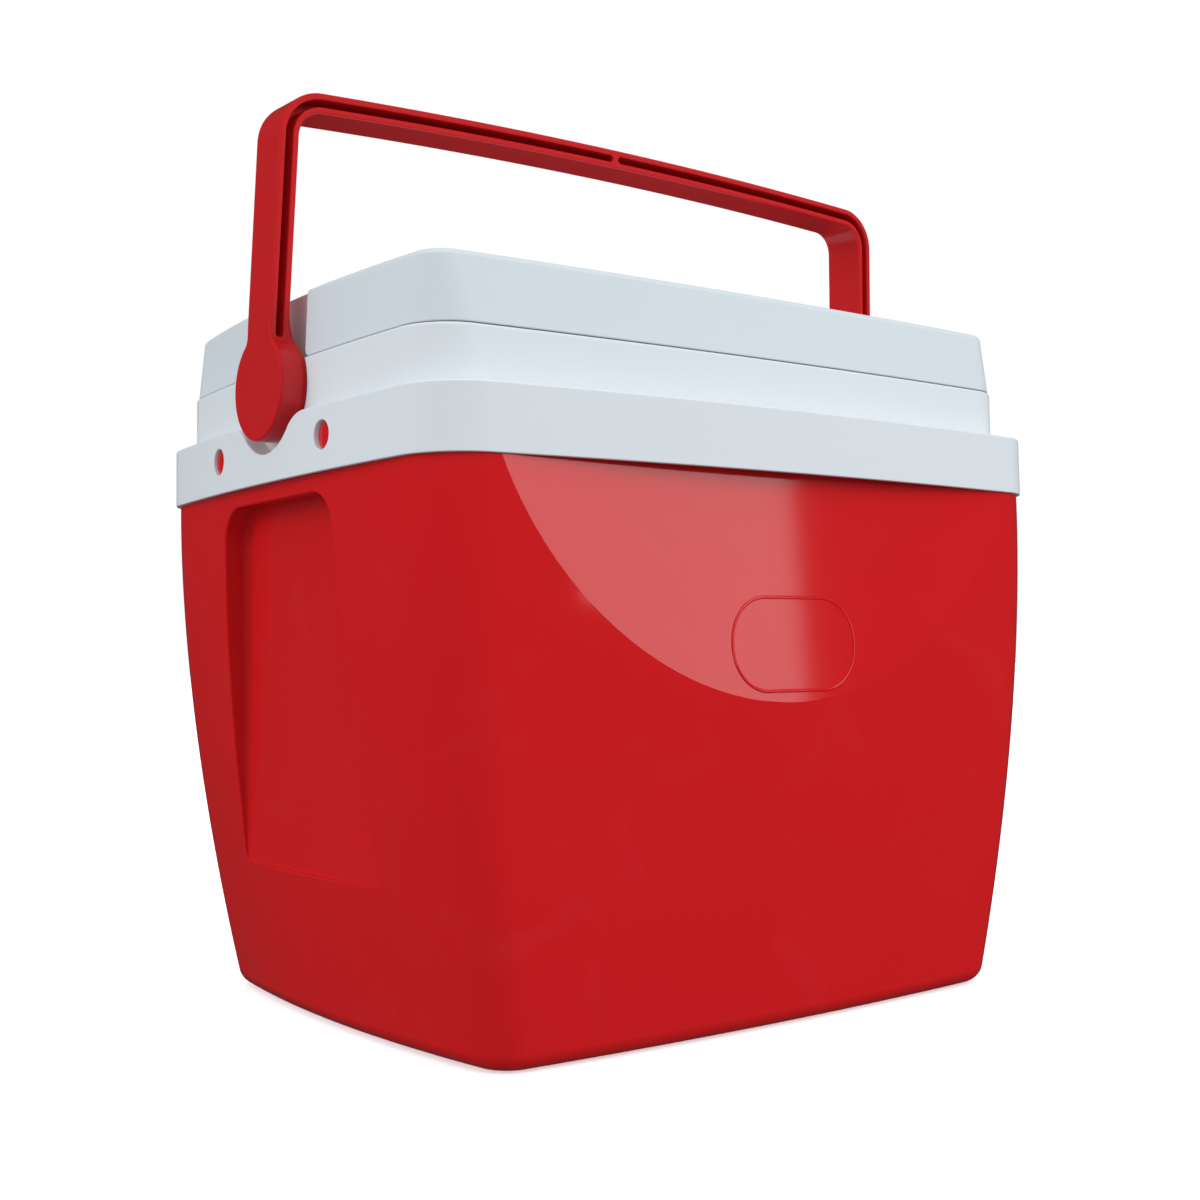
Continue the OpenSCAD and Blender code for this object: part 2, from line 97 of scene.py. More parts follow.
class Shell:
    """Faces from several patches. Each corner keeps its own normal, which booleans carry along."""

    def __init__(self):
        self.points, self.normals, self.faces, self.count = [], [], [], 0

    def patch(self, p, n, wrap=False, back=False):
        """Quads through a grid of points p with normals n; wrap closes the second direction."""
        rows, cols = p.shape[:2]
        idx = np.arange(rows * cols).reshape(rows, cols) + self.count
        if wrap:
            idx = np.concatenate([idx, idx[:, :1]], 1)
        quads = np.stack([idx[:-1, :-1], idx[1:, :-1], idx[1:, 1:], idx[:-1, 1:]], -1).reshape(-1, 4)
        flat_p, flat_n = p.reshape(-1, 3), n.reshape(-1, 3)
        local = quads - self.count
        d1 = flat_p[local[:, 2]] - flat_p[local[:, 0]]
        d2 = flat_p[local[:, 3]] - flat_p[local[:, 1]]
        agree = (np.cross(d1, d2) * flat_n[local].mean(1)).sum()
        if (agree < 0) != back:
            quads = quads[:, ::-1]
        self.points.append(flat_p)
        self.normals.append(flat_n)
        self.faces += quads.tolist()
        self.count += rows * cols
        return self

    def cap(self, ring, normal, back=False):
        """One flat face with the ring as its border."""
        ring = np.asarray(ring, float)
        n = np.broadcast_to(np.asarray(normal, float), ring.shape)
        idx = np.arange(len(ring)) + self.count
        area = np.cross(ring, np.roll(ring, -1, 0)).sum(0)
        if ((area @ np.asarray(normal, float)) < 0) != back:
            idx = idx[::-1]
        self.points.append(ring)
        self.normals.append(np.array(n))
        self.faces.append(idx.tolist())
        self.count += len(ring)
        return self

    def mirrored(self, flip):
        other = Shell()
        other.points = [p * np.array(flip) for p in self.points]
        other.normals = [n * np.array(flip) for n in self.normals]
        other.faces = [f[::-1] for f in self.faces]
        other.count = self.count
        return other

    def mirrored_x(self):
        return self.mirrored((-1.0, 1.0, 1.0))

    def mirrored_y(self):
        return self.mirrored((1.0, -1.0, 1.0))

    def add(self, other):
        self.points += other.points
        self.normals += other.normals
        self.faces += [[i + self.count for i in f] for f in other.faces]
        self.count += other.count
        return self

    def build(self, name, merge=2e-4):
        me = bpy.data.meshes.new(name)
        p = np.concatenate(self.points)
        n = unit(np.concatenate(self.normals))
        me.from_pydata(p.tolist(), [], self.faces)
        attr = me.attributes.new("nrm", "FLOAT_VECTOR", "CORNER")
        vi = np.zeros(len(me.loops), np.int32)
        me.loops.foreach_get("vertex_index", vi)
        attr.data.foreach_set("vector", n[vi].astype(np.float32).ravel())
        bm = bmesh.new()
        bm.from_mesh(me)
        bmesh.ops.remove_doubles(bm, verts=bm.verts, dist=merge)
        loose = [v for v in bm.verts if not v.link_faces]
        bmesh.ops.delete(bm, geom=loose, context="VERTS")
        open_edges = sum(1 for e in bm.edges if len(e.link_faces) != 2)
        bm.to_mesh(me)
        volume = bm.calc_volume(signed=True)
        bm.free()
        if open_edges or volume < 0:
            print(f"SHELL {name}: {open_edges} open edges, volume {volume:.0f}")
        ob = bpy.data.objects.new(name, me)
        bpy.context.scene.collection.objects.link(ob)
        return ob


def combine(target, tools, operation="DIFFERENCE"):
    """Boolean of the target with each tool in turn; the tools are used up."""
    for tool in tools:
        m = target.modifiers.new("b", "BOOLEAN")
        m.operation, m.solver, m.object = operation, "MANIFOLD", tool
    dg = bpy.context.evaluated_depsgraph_get()
    me = bpy.data.meshes.new_from_object(target.evaluated_get(dg))
    target.modifiers.clear()
    old = target.data
    target.data = me
    bpy.data.meshes.remove(old)
    for tool in tools:
        data = tool.data
        bpy.data.objects.remove(tool)
        bpy.data.meshes.remove(data)
    return target


def finish_piece(ob, name, material, body, nodes):
    """Metres, smooth faces with the carried normals, material, and the body that it rides on."""
    me = ob.data
    ob.name = name
    me.name = name
    co = np.zeros(len(me.vertices) * 3, np.float32)
    me.vertices.foreach_get("co", co)
    me.vertices.foreach_set("co", co * 0.001)
    normals = np.zeros(len(me.loops) * 3, np.float32)
    me.attributes["nrm"].data.foreach_get("vector", normals)
    normals = unit(normals.reshape(-1, 3).astype(float))
    me.attributes.remove(me.attributes["nrm"])
    me.polygons.foreach_set("use_smooth", np.ones(len(me.polygons), bool))
    me.materials.clear()
    me.materials.append(material)
    me.polygons.foreach_set("material_index", np.zeros(len(me.polygons), np.int32))
    me.update()
    me.normals_split_custom_set(normals.tolist())
    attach(ob, body)
    if nodes:
        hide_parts(*nodes)
    return ob


# ---------------------------------------------------------------- outlines and profiles
def outline(u, spec):
    """Rounded rectangle with swelling sides, whose corners meet the sides smoothly.

    u runs 0 to 4 from +X round by +Y. The spec is half length, half width, corner radius, and the
    swell of the long sides and of the ends.
    """
    a, b, r, s, t = spec
    u = np.mod(u, 4.0)
    quarter = np.floor(u)
    f = u - quarter
    f = np.where(quarter % 2 == 0, f, 1.0 - f)
    sx = np.where((quarter == 0) | (quarter == 3), 1.0, -1.0)
    sy = np.where(quarter < 2, 1.0, -1.0)
    w = np.clip(f / END_SHARE, 0, 1)
    x1, y1 = a + t * (1 - w * w), (b - r) * w
    g = np.clip((1 - f) / (1 - CORNER_SHARE), 0, 1)
    x3, y3 = (a - r) * g, b + s * (1 - g * g)
    slope_end, slope_long = 2 * t / (b - r), 2 * s / (a - r)
    turn = math.pi / 2 - np.arctan(slope_end) - np.arctan(slope_long)
    reach = 4 / 3 * np.tan(turn / 4) * r * math.sqrt(2) / (2 * np.sin(turn / 2))
    ne, nl = np.sqrt(1 + slope_end**2), np.sqrt(1 + slope_long**2)
    bx, by = a + 0 * f, b - r + 0 * f
    cx, cy = bx - reach * slope_end / ne, by + reach / ne
    ex, ey = a - r + 0 * f, b + 0 * f
    dx, dy = ex + reach / nl, ey - reach * slope_long / nl
    q = np.clip((f - END_SHARE) / (CORNER_SHARE - END_SHARE), 0, 1)
    p = 1 - q
    x2 = p**3 * bx + 3 * p * p * q * cx + 3 * p * q * q * dx + q**3 * ex
    y2 = p**3 * by + 3 * p * p * q * cy + 3 * p * q * q * dy + q**3 * ey
    x = np.where(f < END_SHARE, x1, np.where(f < CORNER_SHARE, x2, x3))
    y = np.where(f < END_SHARE, y1, np.where(f < CORNER_SHARE, y2, y3))
    return sx * x, sy * y


def side(u, spec, o=0.0):
    """Outline moved out by o, and its outward normal."""
    e = 1e-4
    x0, y0 = outline(u - e, spec)
    x1, y1 = outline(u + e, spec)
    x, y = outline(u, spec)
    dx, dy = x1 - x0, y1 - y0
    size = np.sqrt(dx * dx + dy * dy)
    nx, ny = dy / size, -dx / size
    return x + o * nx, y + o * ny, nx, ny


def around(ends=14, corners=14, longs=26):
    """Stations for one trip round an outline."""
    quarter = np.concatenate([
        np.linspace(0, END_SHARE, ends, endpoint=False),
        np.linspace(END_SHARE, CORNER_SHARE, corners, endpoint=False),
        np.linspace(CORNER_SHARE, 1, longs, endpoint=False),
    ])
    back = 2.0 - quarter[::-1]
    half = np.concatenate([quarter, [1.0], back[:-1]])
    return np.concatenate([half, 2.0 + half])


STATIONS = around()


def rounded(corners, closed=True, steps=6, long=None):
    """Points and right-hand normals along straight lines whose corners (x, y, r) are rounded."""
    pts, nrm = [], []
    n = len(corners)
    c = [(np.array(k[:2], float), k[2]) for k in corners]
    for i in range(n):
        p, r = c[i]
        before, after = c[i - 1][0], c[(i + 1) % n][0]
        if not closed and i in (0, n - 1):
            d = (after - p) if i == 0 else (p - before)
            d = d / np.linalg.norm(d)
            pts.append(p)
            nrm.append(np.array([d[1], -d[0]]))
            continue
        d1 = (p - before) / np.linalg.norm(p - before)
        d2 = (after - p) / np.linalg.norm(after - p)
        n1, n2 = np.array([d1[1], -d1[0]]), np.array([d2[1], -d2[0]])
        angle = math.atan2(d1[0] * d2[1] - d1[1] * d2[0], d1 @ d2)
        if r <= 0 or abs(angle) < 1e-6:
            pts += [p, p]
            nrm += [n1, n2]
            continue
        start = p - d1 * r * math.tan(abs(angle) / 2)
        centre = start - n1 * r * math.copysign(1, angle)
        for j in range(steps + 1):
            t = angle * j / steps
            rot = np.array([[math.cos(t), -math.sin(t)], [math.sin(t), math.cos(t)]])
            pts.append(centre + rot @ (start - centre))
            nrm.append(rot @ n1)
    pts, nrm = np.array(pts), np.array(nrm)
    if long:
        many_p, many_n = [], []
        last = len(pts) if closed else len(pts) - 1
        for i in range(len(pts)):
            many_p.append(pts[i])
            many_n.append(nrm[i])
            if i < last:
                j = (i + 1) % len(pts)
                gap = np.linalg.norm(pts[j] - pts[i])
                if gap > long and nrm[i] @ nrm[j] > 0.9999:
                    for k in range(1, int(gap // long) + 1):
                        f = k / (int(gap // long) + 1)
                        many_p.append(pts[i] + f * (pts[j] - pts[i]))
                        many_n.append(nrm[i])
        pts, nrm = np.array(many_p), np.array(many_n)
    return pts, nrm


def swept(shell, loop, closed=True, steps=5):
    """Rings from corners (spec, base, o, z, r).

    The ring lies o outside the outline spec, and base tells outlines apart and puts them in order.
    """
    u = STATIONS
    pts, nrm = rounded([(base + o, z, r) for _, base, o, z, r in loop], closed, steps)
    bases = {base: spec for spec, base, *_ in loop}
    keys = sorted(bases)
    rows_p, rows_n = [], []
    for (h, z), (ch, cz) in zip(pts, nrm):
        base = min(keys, key=lambda k: abs(k - h))
        x, y, nx, ny = side(u, bases[base], h - base)
        rows_p.append(np.stack([x, y, z + 0 * x], -1))
        rows_n.append(np.stack([nx * ch, ny * ch, cz + 0 * x], -1))
    if closed:
        rows_p.append(rows_p[0])
        rows_n.append(rows_n[0])
    shell.patch(np.array(rows_p), np.array(rows_n), wrap=True)
    return rows_p


def surface(f, v, u=STATIONS, out=1.0):
    """Grid of points and exact normals of f(u, v), rows along v."""
    vv, uu = np.meshgrid(v, u, indexing="ij")
    e = 1e-3
    p = f(uu, vv)
    du = f(uu + e, vv) - f(uu - e, vv)
    dv = f(uu, vv + e) - f(uu, vv - e)
    return p, unit(np.cross(du, dv)) * out


# ---------------------------------------------------------------- outer body
BODY_HALF_L = 210.2
BODY_HALF_W = 159.6
TAPER_L = 36.5
TAPER_W = 15
FOOT_R = 9
BODY_WALL = 3.0
RIM_GAP = 0.4  # between body and collar
RIM_INSET = 3.4
RIM_CORNER = 30.6
RIM_FOOT = 285.6
PANEL_SLOPE = 0.0364
PANEL_Z = 163  # height where the flat panel lies PANEL_Y from the middle
PANEL_Y = BODY_HALF_W + 4.7
EMBLEM_Z = 196
EMBLEM_X = 2.0


def body_spec(z, e):
    """Outline of the body at height z, e inside its face."""
    k = z / BODY_H
    drop = np.maximum(0.0, 1 - k)
    a = BODY_HALF_L - TAPER_L * drop**1.7 - e
    b = BODY_HALF_W - TAPER_W * drop**2 - e
    r = np.maximum(21 + 12 * k - e, 6) * ROUND
    return a, b, r, 6 + 2 * k, 9 - 4.5 * k


def body_at(d):
    """The body's surface d inside its face: the foot's rounding for v below 1, then the wall."""
    def f(u, v):
        v = np.clip(v, 0, 2)
        angle = np.clip(v, 0, 1) * math.pi / 2
        wall_h = BODY_H - RIM_GAP - d - FOOT_R
        z = np.where(v < 1, FOOT_R * (1 - np.cos(angle)), FOOT_R + wall_h * (v - 1))
        e = np.where(v < 1, FOOT_R * (1 - np.sin(angle)), 0)
        x, y = outline(u, body_spec(z + d, e + d))
        return np.stack([x, y, z + d], -1)

    return f


def end_x(y, z):
    """How far out the body's end lies."""
    a, b, r, s, t = body_spec(z, 0.0)
    return a + t * (1 - (y / (b - r)) ** 2)


def slices(count):
    return np.concatenate([np.linspace(0, 1, 9, endpoint=False), np.linspace(1, 2, count)])


def body_block(name, d, top, wall):
    shell = Shell()
    f = body_at(d)
    p, n = surface(f, slices(56))
    shell.patch(p, n, wrap=True)
    rim = (SKIRT[0] - RIM_INSET - wall, SKIRT[1] - RIM_INSET - wall, RIM_CORNER * ROUND - wall, 9.0, 6.0)
    x, y = outline(STATIONS, rim)
    nx, ny = side(STATIONS, rim)[2:]
    flat = np.stack([nx, ny, 0 * nx], -1)
    low = np.stack([x, y, 0 * x + RIM_FOOT + wall], -1)
    high = np.stack([x, y, 0 * x + top], -1)
    shell.patch(np.array([p[-1], low]), np.array([flat, flat]), wrap=True)
    shell.patch(np.array([low, high]), np.array([flat, flat]), wrap=True)
    shell.cap(p[0], (0, 0, -1))
    shell.cap(high, (0, 0, 1))
    return shell.build(name)


RECESS_X = 200.1  # its floor, at the top
RECESS_FOOT, RECESS_TOP = 80, 275
RECESS_WIDE, RECESS_NARROW = 76, 62
RECESS_LEAN = math.radians(1.9)
RECESS_LIP_END = 1.431  # radians round the lip, just short of the face's tangent


def recess_tool(name, grow):
    """The hand recess as a cutter with a soft rim and a soft foot of its walls."""
    wide, narrow = RECESS_WIDE + grow, RECESS_NARROW + grow
    low, high = RECESS_FOOT - grow, RECESS_TOP + grow
    pts, nrm = rounded(
        [(wide, low, 5 + grow), (narrow, high, 20 + grow),
         (-narrow, high, 20 + grow), (-wide, low, 5 + grow)],
        steps=12, long=6,
    )
    y, z = pts[:, 0], pts[:, 1]

    def floor_x(zz):
        return RECESS_X - grow - (RECESS_TOP - zz) * math.tan(RECESS_LEAN)

    depth = end_x(y, z) - floor_x(z)
    lip = np.clip(0.3 * depth, 0.3, 1.3)
    foot = np.clip(0.45 * depth, 0.3, 3.5)
    rows_p, rows_n = [], []

    def row(o, x, nx, nn):
        yy, zz = y + o * nrm[:, 0], z + o * nrm[:, 1]
        rows_p.append(np.stack([x(yy, zz) + 0 * yy, yy, zz], -1))
        rows_n.append(unit(np.stack([nx + 0 * yy, nn * nrm[:, 0], nn * nrm[:, 1]], -1)))

    for t in spread(np.linspace(0, 90, 7)):
        row(-foot * (1 - math.sin(t)), lambda yy, zz, t=t: floor_x(zz) + foot * (1 - math.cos(t)),
            math.cos(t), -math.sin(t))
    if grow:
        row(0.0, lambda yy, zz: 250 + 0 * yy, 0.0, -1.0)
    else:
        for t in spread([0, 15, 30, 45, 60, 72, 82]):
            lift = 0.015 + lip * (1 - math.sin(RECESS_LIP_END)) if t > 1.4 else 0.0
            row(lip * (1 - math.cos(t)),
                lambda yy, zz, t=t, lift=lift: end_x(yy, zz) - lip * (1 - math.sin(t)) + lift,
                math.sin(t), -math.cos(t))
        row(lip * (1 - math.cos(RECESS_LIP_END)), lambda yy, zz: 250 + 0 * yy, 0.0, -1.0)
    shell = Shell()
    shell.patch(np.array(rows_p), np.array(rows_n), wrap=True, back=True)
    shell.cap(rows_p[0], (math.cos(RECESS_LEAN), 0, -math.sin(RECESS_LEAN)), back=True)
    shell.cap(rows_p[-1], (1, 0, 0))
    return [shell.build(name), shell.mirrored_x().build(name + "_left")]


def panel_tools(inward=0.0):
    """Wedges that slice the front and back flat."""
    tools = []
    for s in (-1, 1):
        z = np.array([-20.0, 400.0])
        y = PANEL_Y - PANEL_SLOPE * (z - PANEL_Z) - inward
        inner = [(x, s * yy, zz) for x in (-300, 300) for yy, zz in zip(y, z)]
        outer = [(x, s * FAR_X, zz) for x in (-300, 300) for zz in z]
        v = np.array(inner + outer, float)
        shell = Shell()
        n = unit(np.array([0, s, PANEL_SLOPE]))
        for ids, normal in (((0, 1, 3, 2), -n), ((4, 5, 7, 6), (0, s, 0)), ((0, 1, 5, 4), (-1, 0, 0)),
                            ((2, 3, 7, 6), (1, 0, 0)), ((0, 2, 6, 4), (0, 0, -1)), ((1, 3, 7, 5), (0, 0, 1))):
            shell.cap(v[list(ids)], normal)
        shell.normals[0] = -shell.normals[0]  # the cut face looks out of the body
        tools.append(shell.build(f"wedge{s}"))
    return tools


def peg_tools():
    parts = []
    for sx in (-1, 1):
        for sy in (-1, 1):
            face = SKIRT[0] + 6 * (1 - (SNAP_Y / 127) ** 2)
            root = face - BODY_WALL - RIM_GAP - 1.5
            parts.append(rod(root, face - 2, sy * SNAP_Y, SNAP_Z, PEG_R, 0.6, sx))
    return parts


def rod(x0, x1, y, z, r, edge, sx=1, cut=False, steps=48):
    """Round bar along X with a rounded outer edge."""
    t = np.linspace(0, 2 * math.pi, steps, endpoint=False)
    prof = [(r, x0, 0.0)]
    for k in spread(np.linspace(0, 90, 5)):
        prof.append((r - edge * (1 - math.cos(k)), x1 - edge * (1 - math.sin(k)), k))
    rows_p, rows_n = [], []
    for rr, x, k in prof:
        rows_p.append(np.stack([x + 0 * t, y + rr * np.cos(t), z + rr * np.sin(t)], -1))
        rows_n.append(np.stack([math.sin(k) + 0 * t, math.cos(k) * np.cos(t), math.cos(k) * np.sin(t)], -1))
    p, n = np.array(rows_p), np.array(rows_n)
    shell = Shell()
    if cut:
        n = -n
    shell.patch(p, n, wrap=True, back=cut)
    shell.cap(p[0], (1 if cut else -1, 0, 0), back=cut)
    shell.cap(p[-1], (-1 if cut else 1, 0, 0), back=cut)
    if sx < 0:
        shell = shell.mirrored_x()
    return shell.build("rod")


def emblem_ring():
    """Blank oval line that stands a little proud of the front panel."""
    half_w, half_h, corner = 43.2, 24, 23
    line, proud = 0.9, 0.45
    pts, nrm = rounded(
        [(half_w, -half_h, corner), (half_w, half_h, corner),
         (-half_w, half_h, corner), (-half_w, -half_h, corner)],
        steps=24, long=4,
    )
    n = unit(np.array([0, -1, PANEL_SLOPE]))
    up = unit(np.cross(n, np.array([1.0, 0, 0])))
    centre = np.array([EMBLEM_X, -(PANEL_Y - PANEL_SLOPE * (EMBLEM_Z - PANEL_Z)), EMBLEM_Z])
    rows_p, rows_n = [], []
    for t in spread(np.linspace(0, 360, 12, endpoint=False)):
        o, h = line * math.cos(t), proud * math.sin(t)
        a, b = math.cos(t) / line, math.sin(t) / proud
        size = math.hypot(a, b)
        a, b = a / size, b / size
        xs, ys = pts[:, 0] + o * nrm[:, 0], pts[:, 1] + o * nrm[:, 1]
        rows_p.append(centre + xs[:, None] * np.array([1.0, 0, 0]) + ys[:, None] * up + h * n)
        rows_n.append(a * (nrm[:, :1] * np.array([1.0, 0, 0]) + nrm[:, 1:] * up) + b * n)
    rows_p.append(rows_p[0])
    rows_n.append(rows_n[0])
    shell = Shell()
    shell.patch(np.array(rows_p), np.array(rows_n), wrap=True)
    return shell.build("emblem")


def foot_hollow():
    """Cutter that leaves a ring of feet round the underside."""
    spec = (150.7, 121.6, 10.0, 4.0, 4.0)
    rows_p, rows_n = [], []
    for o, z in ((1.0, -4.0), (0.0, 0.6), (-0.4, 1.0)):
        x, y, nx, ny = side(STATIONS, spec, o)
        rows_p.append(np.stack([x, y, z + 0 * x], -1))
        rows_n.append(np.stack([-nx, -ny, -0.3 + 0 * x], -1))
    shell = Shell()
    shell.patch(np.array(rows_p), np.array(rows_n), wrap=True, back=True)
    shell.cap(rows_p[0], (0, 0, 1), back=True)
    shell.cap(rows_p[-1], (0, 0, -1), back=True)
    return shell.build("foot")


def make_body(material):
    body = body_block("outer", 0.0, RIM_TOP, 0.0)
    cavity = body_block("cavity", BODY_WALL, RIM_TOP + 8, BODY_WALL)
    combine(cavity, recess_tool("grown", BODY_WALL) + panel_tools(BODY_WALL))
    housings = [
        rod(HOUSING_X - RIM_GAP, FAR_X, 0, PIVOT_Z, HOUSING_R + RIM_GAP, SHARP, s, cut=True) for s in (1, -1)
    ]
    combine(body, panel_tools() + [cavity] + recess_tool("recess", 0.0) + [foot_hollow()] + housings)
    combine(body, peg_tools() + [emblem_ring()], "UNION")
    return finish_piece(body, "outer_body_shell", material, "box", ["outer_body"])


# ---------------------------------------------------------------- collar
def face_x(spec):
    a, b, r, s, t = spec
    return lambda y, z: a + t * (1 - (y / (b - r)) ** 2)


def hollow_tool(name, pts, nrm, floor, face, lip, foot):
    """Cutter with outline pts in Y and Z, flat floor at X = floor, and a soft lip where it meets the face."""
    y, z = pts[:, 0], pts[:, 1]
    rows_p, rows_n = [], []

    def row(o, x, nx, nn):
        yy, zz = y + o * nrm[:, 0], z + o * nrm[:, 1]
        xx = x(yy, zz) if callable(x) else x
        rows_p.append(np.stack([xx + 0 * yy, yy, zz], -1))
        rows_n.append(np.stack([nx + 0 * yy, nn * nrm[:, 0], nn * nrm[:, 1]], -1))

    for t in spread(np.linspace(0, 90, 5)):
        row(-foot * (1 - math.sin(t)), floor + foot * (1 - math.cos(t)), math.cos(t), -math.sin(t))
    for t in spread(LIP_STEPS):
        top = LIP_LIFT + lip * (1 - math.sin(LIP_END)) if t == LIP_END else 0.0
        row(lip * (1 - math.cos(t)),
            lambda yy, zz, t=t, top=top: face(yy, zz) - lip * (1 - math.sin(t)) + top,
            math.sin(t), -math.cos(t))
    row(lip * (1 - math.cos(LIP_END)), 250.0, 0.0, -1.0)
    shell = Shell()
    shell.patch(np.array(rows_p), np.array(rows_n), wrap=True, back=True)
    shell.cap(rows_p[0], (1, 0, 0), back=True)
    shell.cap(rows_p[-1], (-1, 0, 0), back=True)
    return [shell.build(name), shell.mirrored_x().build(name)]


def arc_points(cy, cz, r, start, end, steps, sign=1.0):
    """Arc in Y and Z with its normals, from start to end in degrees; sign -1 turns them inward."""
    t = spread(np.linspace(start, end, steps))
    c = np.stack([np.cos(t), np.sin(t)], -1)
    return np.array([cy, cz]) + r * c, sign * c


def dip_outline(top):
    """The dip in the skirt: round below the hub, with flared shoulders, and straight walls up to the top."""
    r, flare = HUB_R + 6.5, 24.0
    rise = PIVOT_Z - LEDGE_Z + flare
    fy = math.sqrt((r + flare) ** 2 - rise**2)
    turn = math.degrees(math.atan2(fy, rise))
    shoulder = 90 - turn
    pts, nrm = [], []
    if top > LEDGE_Z:
        pts += [np.array([[-fy, top], [-fy, LEDGE_Z]])]
        nrm += [np.array([[-1.0, 0], [-1.0, 0]])]
    for p, n in (arc_points(-fy, LEDGE_Z - flare, flare, 90, 90 - turn, 12, -1.0),
                 arc_points(0, PIVOT_Z, r, shoulder - 180, -shoulder, 40),
                 arc_points(fy, LEDGE_Z - flare, flare, 90 + turn, 90, 12, -1.0)):
        pts.append(p)
        nrm.append(n)
    if top > LEDGE_Z:
        pts += [np.array([[fy, LEDGE_Z], [fy, top]])]
        nrm += [np.array([[1.0, 0], [1.0, 0]])]
        pts += [np.array([[fy, top], [-fy, top]])]
        nrm += [np.array([[0.0, 1], [0.0, 1]])]
    return np.concatenate(pts), np.concatenate(nrm)


def prism(name, pts, x0, x1):
    """Plain block with outline pts in Y and Z."""
    n = len(pts)
    p = np.array([[[x, a, b] for a, b in pts] for x in (x0, x1)])
    d = np.roll(pts, -1, 0) - np.roll(pts, 1, 0)
    nn = unit(np.stack([0 * d[:, 0], d[:, 1], -d[:, 0]], -1))
    shell = Shell()
    shell.patch(p, np.array([nn, nn]), wrap=True)
    shell.cap(p[0], (-1, 0, 0))
    shell.cap(p[1], (1, 0, 0))
    return [shell.build(name), shell.mirrored_x().build(name)]


def clipped_disc(r, z0, z1):
    """Outline of a disc about the pivot, cut off below z0 and above z1."""
    t = spread(np.linspace(0, 360, 97)[:-1])
    z = np.clip(PIVOT_Z + r * np.sin(t), z0, z1)
    y = np.sign(np.cos(t)) * np.sqrt(np.maximum(r * r - (z - PIVOT_Z) ** 2, 0))
    y = np.where((PIVOT_Z + r * np.sin(t) > z1) | (PIVOT_Z + r * np.sin(t) < z0), r * np.cos(t), y)
    keep = np.abs(y) <= np.sqrt(np.maximum(r * r - (z - PIVOT_Z) ** 2, 0)) + 1e-6
    return np.stack([y, z], -1)[keep]


COLLAR_WALL = 3.0
SKIRT_Z = 284.0
LEDGE_UNDER = 314.05
BAND_FOOT = 314.0
SHELF_UNDER = 337.0
BOSS_R = 12.5  # radius of the boss that carries the bore


def make_skirt():
    skirt = Shell()
    swept(skirt, [
        (SKIRT, 0, -COLLAR_WALL, SKIRT_Z, 0.6), (SKIRT, 0, 0.0, SKIRT_Z, 0.6), (SKIRT, 0, 0.0, LEDGE_Z, 1.1),
        (BAND, -30, -1.5, LEDGE_Z, 0), (BAND, -30, -1.5, LEDGE_UNDER, 0),
        (SKIRT, 0, -COLLAR_WALL, LEDGE_UNDER, 0.4),
    ])
    skirt = skirt.build("skirt")
    combine(skirt, prism("housing", clipped_disc(HOUSING_R, 288, 316), HOUSING_X, 217.4), "UNION")
    pts, nrm = dip_outline(332.0)
    return combine(skirt, hollow_tool("dip", pts, nrm, POCKET_X, face_x(SKIRT), 1.1, 0.8))


def make_band():
    band = Shell()
    swept(band, [
        (BAND, -30, 0.0, BAND_FOOT, 0), (BAND, -30, 0.0, BAND_Z, 1.7), (BAND, -30, -COLLAR_WALL, BAND_Z, 0.9),
        (BAND, -30, -COLLAR_WALL, SHELF_Z, 0.6), (TUB, -60, 2.9, SHELF_Z, 0.6),
        (TUB, -60, 2.9, SHELF_UNDER, 0.6), (BAND, -30, -COLLAR_WALL, SHELF_UNDER, 0.6),
        (BAND, -30, -COLLAR_WALL, BAND_FOOT, 0),
    ])
    band = band.build("band")
    combine(band, prism("housing", clipped_disc(HOUSING_R, 314.4, 338.5), HOUSING_X, 208.3), "UNION")
    low, _ = dip_outline(LEDGE_Z)
    combine(band, prism("low_dip", low, POCKET_X, FAR_X))
    pts, nrm = arc_points(0, PIVOT_Z, HUB_R + 2.2, -36.6, 216.6, 72)
    return combine(band, hollow_tool("round", pts, nrm, POCKET_X, face_x(BAND), 1.0, 0.8))


def make_collar(material):
    skirt = make_skirt()
    collar = make_band()
    bosses = [rod(198.3, POCKET_X + 0.3, 0, PIVOT_Z, BOSS_R, SHARP, s) for s in (1, -1)]
    combine(collar, [skirt] + bosses, "UNION")
    holes = []
    for y in (SNAP_Y, -SNAP_Y):
        pts, nrm = arc_points(y, SNAP_Z, SNAP_R, 0, 352.5, 48)
        holes += hollow_tool("hole", pts, nrm, 205.0, face_x(SKIRT), 0.5, 0.1)
    holes += [rod(190, 215, 0, PIVOT_Z, BORE_R, SHARP, s, cut=True) for s in (1, -1)]
    combine(collar, holes)
    return finish_piece(collar, "collar_shell", material, "box", ["collar"])


# ---------------------------------------------------------------- lid
LID_EDGE = 3.6
NOTCH_X = 201.0  # the notch's floor
LID_WALL = 2.5


def lid_spec(k, e):
    """Outline of the lid, k of the way up its side and e inside its face."""
    return 204 - 5 * k - e, 143 - 7.3 * k - e, (28 - 13 * k) * ROUND - 0.6 * e, 5.0, 4.5 + 3.5 * k


